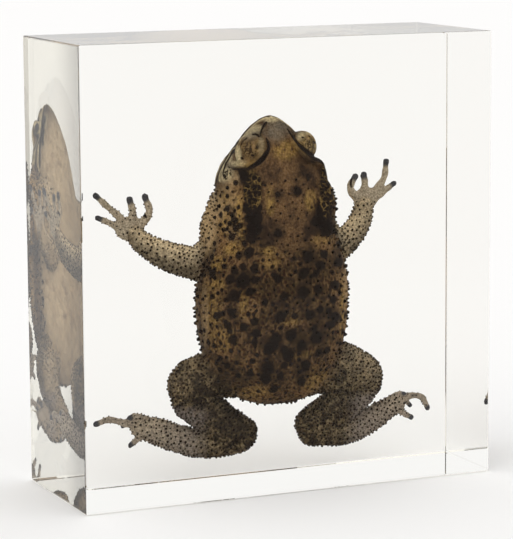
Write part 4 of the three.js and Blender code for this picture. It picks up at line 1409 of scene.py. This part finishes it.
@dataclass(frozen=True)
class WartField:
    """Small blunt spines that stand on the skin, where a mark gives their radius in millimetres."""

    name: str
    mark: str
    sides: int = 6
    blunt: float = 0.34
    tallness: float = 1.2
    sunk: float = 0.3
    seed: int = 3

    def tree(self, finish: bpy.types.Material) -> bpy.types.NodeTree:
        """Builds the nodes that put a spine on every marked vertex of a skin.

        Args:
            finish: The material of the spines.

        Returns:
            The node tree, with inputs for the spines' sizes.
        """
        group = bpy.data.node_groups.new(f"{self.name}_field", "GeometryNodeTree")
        face = group.interface
        face.new_socket("Skin", in_out="INPUT", socket_type="NodeSocketGeometry")
        for name, value in (("Blunt", self.blunt), ("Tallness", self.tallness), ("Sunk", self.sunk)):
            face.new_socket(name, in_out="INPUT", socket_type="NodeSocketFloat").default_value = value
        face.new_socket("Seed", in_out="INPUT", socket_type="NodeSocketInt").default_value = self.seed
        face.new_socket("Warts", in_out="OUTPUT", socket_type="NodeSocketGeometry")
        tree = Nodes(group)
        given = tree.add("NodeGroupInput").outputs
        named = tree.add("GeometryNodeInputNamedAttribute", {"Name": self.mark}, data_type="FLOAT")
        size = named.outputs["Attribute"]

        sizes = {
            "Vertices": self.sides,
            "Radius Top": given["Blunt"],
            "Radius Bottom": 1.0,
            "Depth": given["Tallness"],
        }
        cone = tree.add("GeometryNodeMeshCone", sizes, fill_type="TRIANGLE_FAN").outputs["Mesh"]
        up = tree.part(tree.add("GeometryNodeInputPosition").outputs[0], "Z")
        dark = tree.ramp(tree.maths("DIVIDE", up, given["Tallness"]), 0.15, 0.75)
        stored = {"Geometry": cone, "Name": "spine", "Value": dark}
        spine = tree.add("GeometryNodeStoreNamedAttribute", stored, data_type="FLOAT", domain="POINT")
        down = tree.add("ShaderNodeCombineXYZ", {"Z": tree.times(given["Sunk"], -1.0)}).outputs[0]
        lowered = {"Geometry": spine.outputs["Geometry"], "Translation": down}
        sunk = tree.add("GeometryNodeTransform", lowered).outputs["Geometry"]

        aim = tree.add("GeometryNodeCaptureAttribute", domain="POINT")
        aim.capture_items.new("VECTOR", "Normal")
        tree.feed(aim, {"Geometry": given["Skin"], 1: tree.add("GeometryNodeInputNormal").outputs[0]})
        picked = {"Mesh": aim.outputs["Geometry"], "Selection": tree.maths("GREATER_THAN", size, 0.01)}
        points = tree.add("GeometryNodeMeshToPoints", picked, mode="VERTICES").outputs["Points"]

        aimed = {"Vector": aim.outputs[1]}
        turn = tree.add("FunctionNodeAlignRotationToVector", aimed, axis="Z").outputs[0]
        chance = {3: 2.0 * math.pi, "Seed": given["Seed"]}
        angle = tree.add("FunctionNodeRandomValue", chance, data_type="FLOAT").outputs[1]
        about = {"Axis": (0.0, 0.0, 1.0), "Angle": angle}
        spin = tree.add("FunctionNodeAxisAngleToRotation", about).outputs[0]
        turns = {"Rotation": turn, "Rotate By": spin}
        turned = tree.add("FunctionNodeRotateRotation", turns, rotation_space="LOCAL").outputs[0]
        onto = tree.add("GeometryNodeInstanceOnPoints", {
            "Points": points,
            "Instance": sunk,
            "Rotation": turned,
            "Scale": tree.times(size, MM),
        })
        grown = {"Geometry": onto.outputs["Instances"]}
        real = tree.add("GeometryNodeRealizeInstances", grown).outputs["Geometry"]
        dress = tree.add("GeometryNodeSetMaterial", {"Geometry": real, "Material": finish}).outputs[0]
        tree.add("NodeGroupOutput", {"Warts": dress})
        return group

    def build(self, skin: bpy.types.Mesh, finish: bpy.types.Material) -> bpy.types.Object:
        """Grows the warts on a skin.

        Args:
            skin: The mesh whose marked vertices carry warts.
            finish: The warts' material.

        Returns:
            The warts as one plain mesh object.
        """
        base = place(f"{self.name}_base", skin.copy())
        grow = base.modifiers.new("grow", "NODES")
        grow.node_group = self.tree(finish)
        for item in grow.node_group.interface.items_tree:
            if item.name == "Seed":
                grow[item.identifier] = self.seed
        data = plain_mesh(base, self.name)
        bpy.data.objects.remove(base)
        smooth(data)
        LOG.info("%s: %d faces", self.name, len(data.polygons))
        return place(self.name, data)


@dataclass
class Toad:
    """The preserved toad: its skin, the warts of its trunk and the granules of its limbs."""

    body: ToadBody = field(default_factory=ToadBody)
    warts: WartField = WartField("toad_warts", "wart", tallness=1.4)
    granules: WartField = WartField("toad_granules", "granule", blunt=0.5)
    finish: SkinFinish = field(default_factory=SkinFinish)

    def build(self) -> list[bpy.types.Object]:
        """Makes the toad's pieces and ties them to the frame.

        Returns:
            The skin, the warts and the granules.
        """
        skin_look = self.finish.material()
        skin = place("toad_skin", self.body.build())
        skin.data.materials.append(skin_look)
        pieces = [skin] + [one.build(skin.data, skin_look) for one in (self.warts, self.granules)]
        for piece in pieces:
            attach(piece, "root")
        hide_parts("toad")
        return pieces


@dataclass
class ClearBlock:
    """The cast block, one clear piece that fills the outline of the two halves of the solid model."""

    edge: float = 0.4
    edge_steps: int = 3
    finish: ResinFinish = field(default_factory=ResinFinish)

    def build(self) -> bpy.types.Object:
        """Makes the block and ties it to the frame.

        Returns:
            The block.
        """
        corners = np.array([corner for node in ("resin_front", "resin_rear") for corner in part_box(node)])
        low = corners.min(axis=0)
        high = corners.max(axis=0)
        bm = bmesh.new()
        bmesh.ops.create_cube(bm, size=1.0)
        for vertex in bm.verts:
            vertex.co = Vector(low + (np.array(vertex.co) + 0.5) * (high - low))
        sizes = {"offset": self.edge * MM, "segments": self.edge_steps, "profile": 0.5}
        bmesh.ops.bevel(bm, geom=list(bm.edges), affect="EDGES", **sizes)
        data = bpy.data.meshes.new("clear_block")
        bm.to_mesh(data)
        bm.free()
        data.materials.append(self.finish.material())
        block = place("clear_block", data)
        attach(block, "root")
        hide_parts("resin_front", "resin_rear")
        LOG.info("clear block: %d faces", len(data.polygons))
        return block


@dataclass
class Studio:
    """The pale floor, the soft light and the camera."""

    camera_at: Point = (-0.2267, -0.5135, 0.1339)
    yaw: float = 23.74
    pitch: float = -8.9
    roll: float = -0.36
    lens: float = 174.0
    sensor: float = 36.0
    floor_half: float = 8.0
    floor_front: float = -0.25
    floor_gap: float = 0.1
    high_room: Colour = (0.97, 0.97, 0.97)
    low_room: Colour = (0.55, 0.52, 0.46)
    window: Colour = (1.28, 1.26, 1.22)
    window_way: Point = (-0.45, -0.45, 0.77)
    horizon: tuple[float, float] = (-0.25, 0.15)
    window_edge: tuple[float, float] = (0.35, 0.95)

    def build(self) -> None:
        """Makes the whole studio."""
        self._floor()
        self._camera()
        self._light()
        self._paths()

    def _floor(self) -> None:
        """Lays the floor just under the block."""
        half = self.floor_half
        z = -self.floor_gap * MM
        data = bpy.data.meshes.new("floor")
        front = self.floor_front
        corners = [(-half, front, z), (half, front, z), (half, half, z), (-half, half, z)]
        data.from_pydata(corners, [], [(0, 1, 2, 3)])
        data.materials.append(PaperFinish().material())
        place("floor", data)

    def _camera(self) -> None:
        """Sets the camera at the photograph's place and angle."""
        yaw, pitch, roll = (math.radians(a) for a in (self.yaw, self.pitch, self.roll))
        flat = math.cos(pitch)
        ahead = Vector((math.sin(yaw) * flat, math.cos(yaw) * flat, math.sin(pitch)))
        level = ahead.cross(Vector((0.0, 0.0, 1.0))).normalized()
        above = level.cross(ahead)
        right = level * math.cos(roll) + above * math.sin(roll)
        up = above * math.cos(roll) - level * math.sin(roll)
        data = bpy.data.cameras.new("camera")
        data.lens = self.lens
        data.sensor_width = self.sensor
        data.clip_start = 0.01
        camera = bpy.data.objects.new("camera", data)
        turn = Matrix((right, up, -ahead)).transposed()
        camera.matrix_world = Matrix.Translation(self.camera_at) @ turn.to_4x4()
        bpy.context.scene.collection.objects.link(camera)
        bpy.context.scene.camera = camera

    def _light(self) -> None:
        """Lights the scene from a pale room, with a broad window high up on the left."""
        world = bpy.data.worlds.new("room")
        world.use_nodes = True
        bpy.context.scene.world = world
        tree = Nodes(world.node_tree)
        way = tree.add("ShaderNodeTexCoord").outputs["Generated"]
        both = {0: way, 1: Vector(self.window_way).normalized()}
        toward = tree.add("ShaderNodeVectorMath", both, operation="DOT_PRODUCT").outputs["Value"]
        room = tree.mix(tree.ramp(tree.part(way, "Z"), *self.horizon), self.low_room, self.high_room)
        room = tree.mix(tree.ramp(toward, *self.window_edge), room, self.window)
        tree.feed(world.node_tree.nodes["Background"], {"Color": room})

    @staticmethod
    def _paths() -> None:
        """Lets light pass through the block as often as it does in glass."""
        bpy.context.scene.view_settings.view_transform = "Standard"
        cycles = bpy.context.scene.cycles
        for name, most in (("max", 24), ("transmission", 24), ("glossy", 16), ("diffuse", 5)):
            setattr(cycles, f"{name}_bounces", most)
        cycles.caustics_refractive = True
        cycles.caustics_reflective = True
        cycles.blur_glossy = 0.0
        cycles.use_denoising = True


def main() -> None:
    """Builds the block, the toad and the studio."""
    logging.basicConfig(level=logging.INFO, format="%(name)s: %(message)s")
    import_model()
    ClearBlock().build()
    Toad().build()
    Studio().build()


if __name__ == "__main__":
    main()
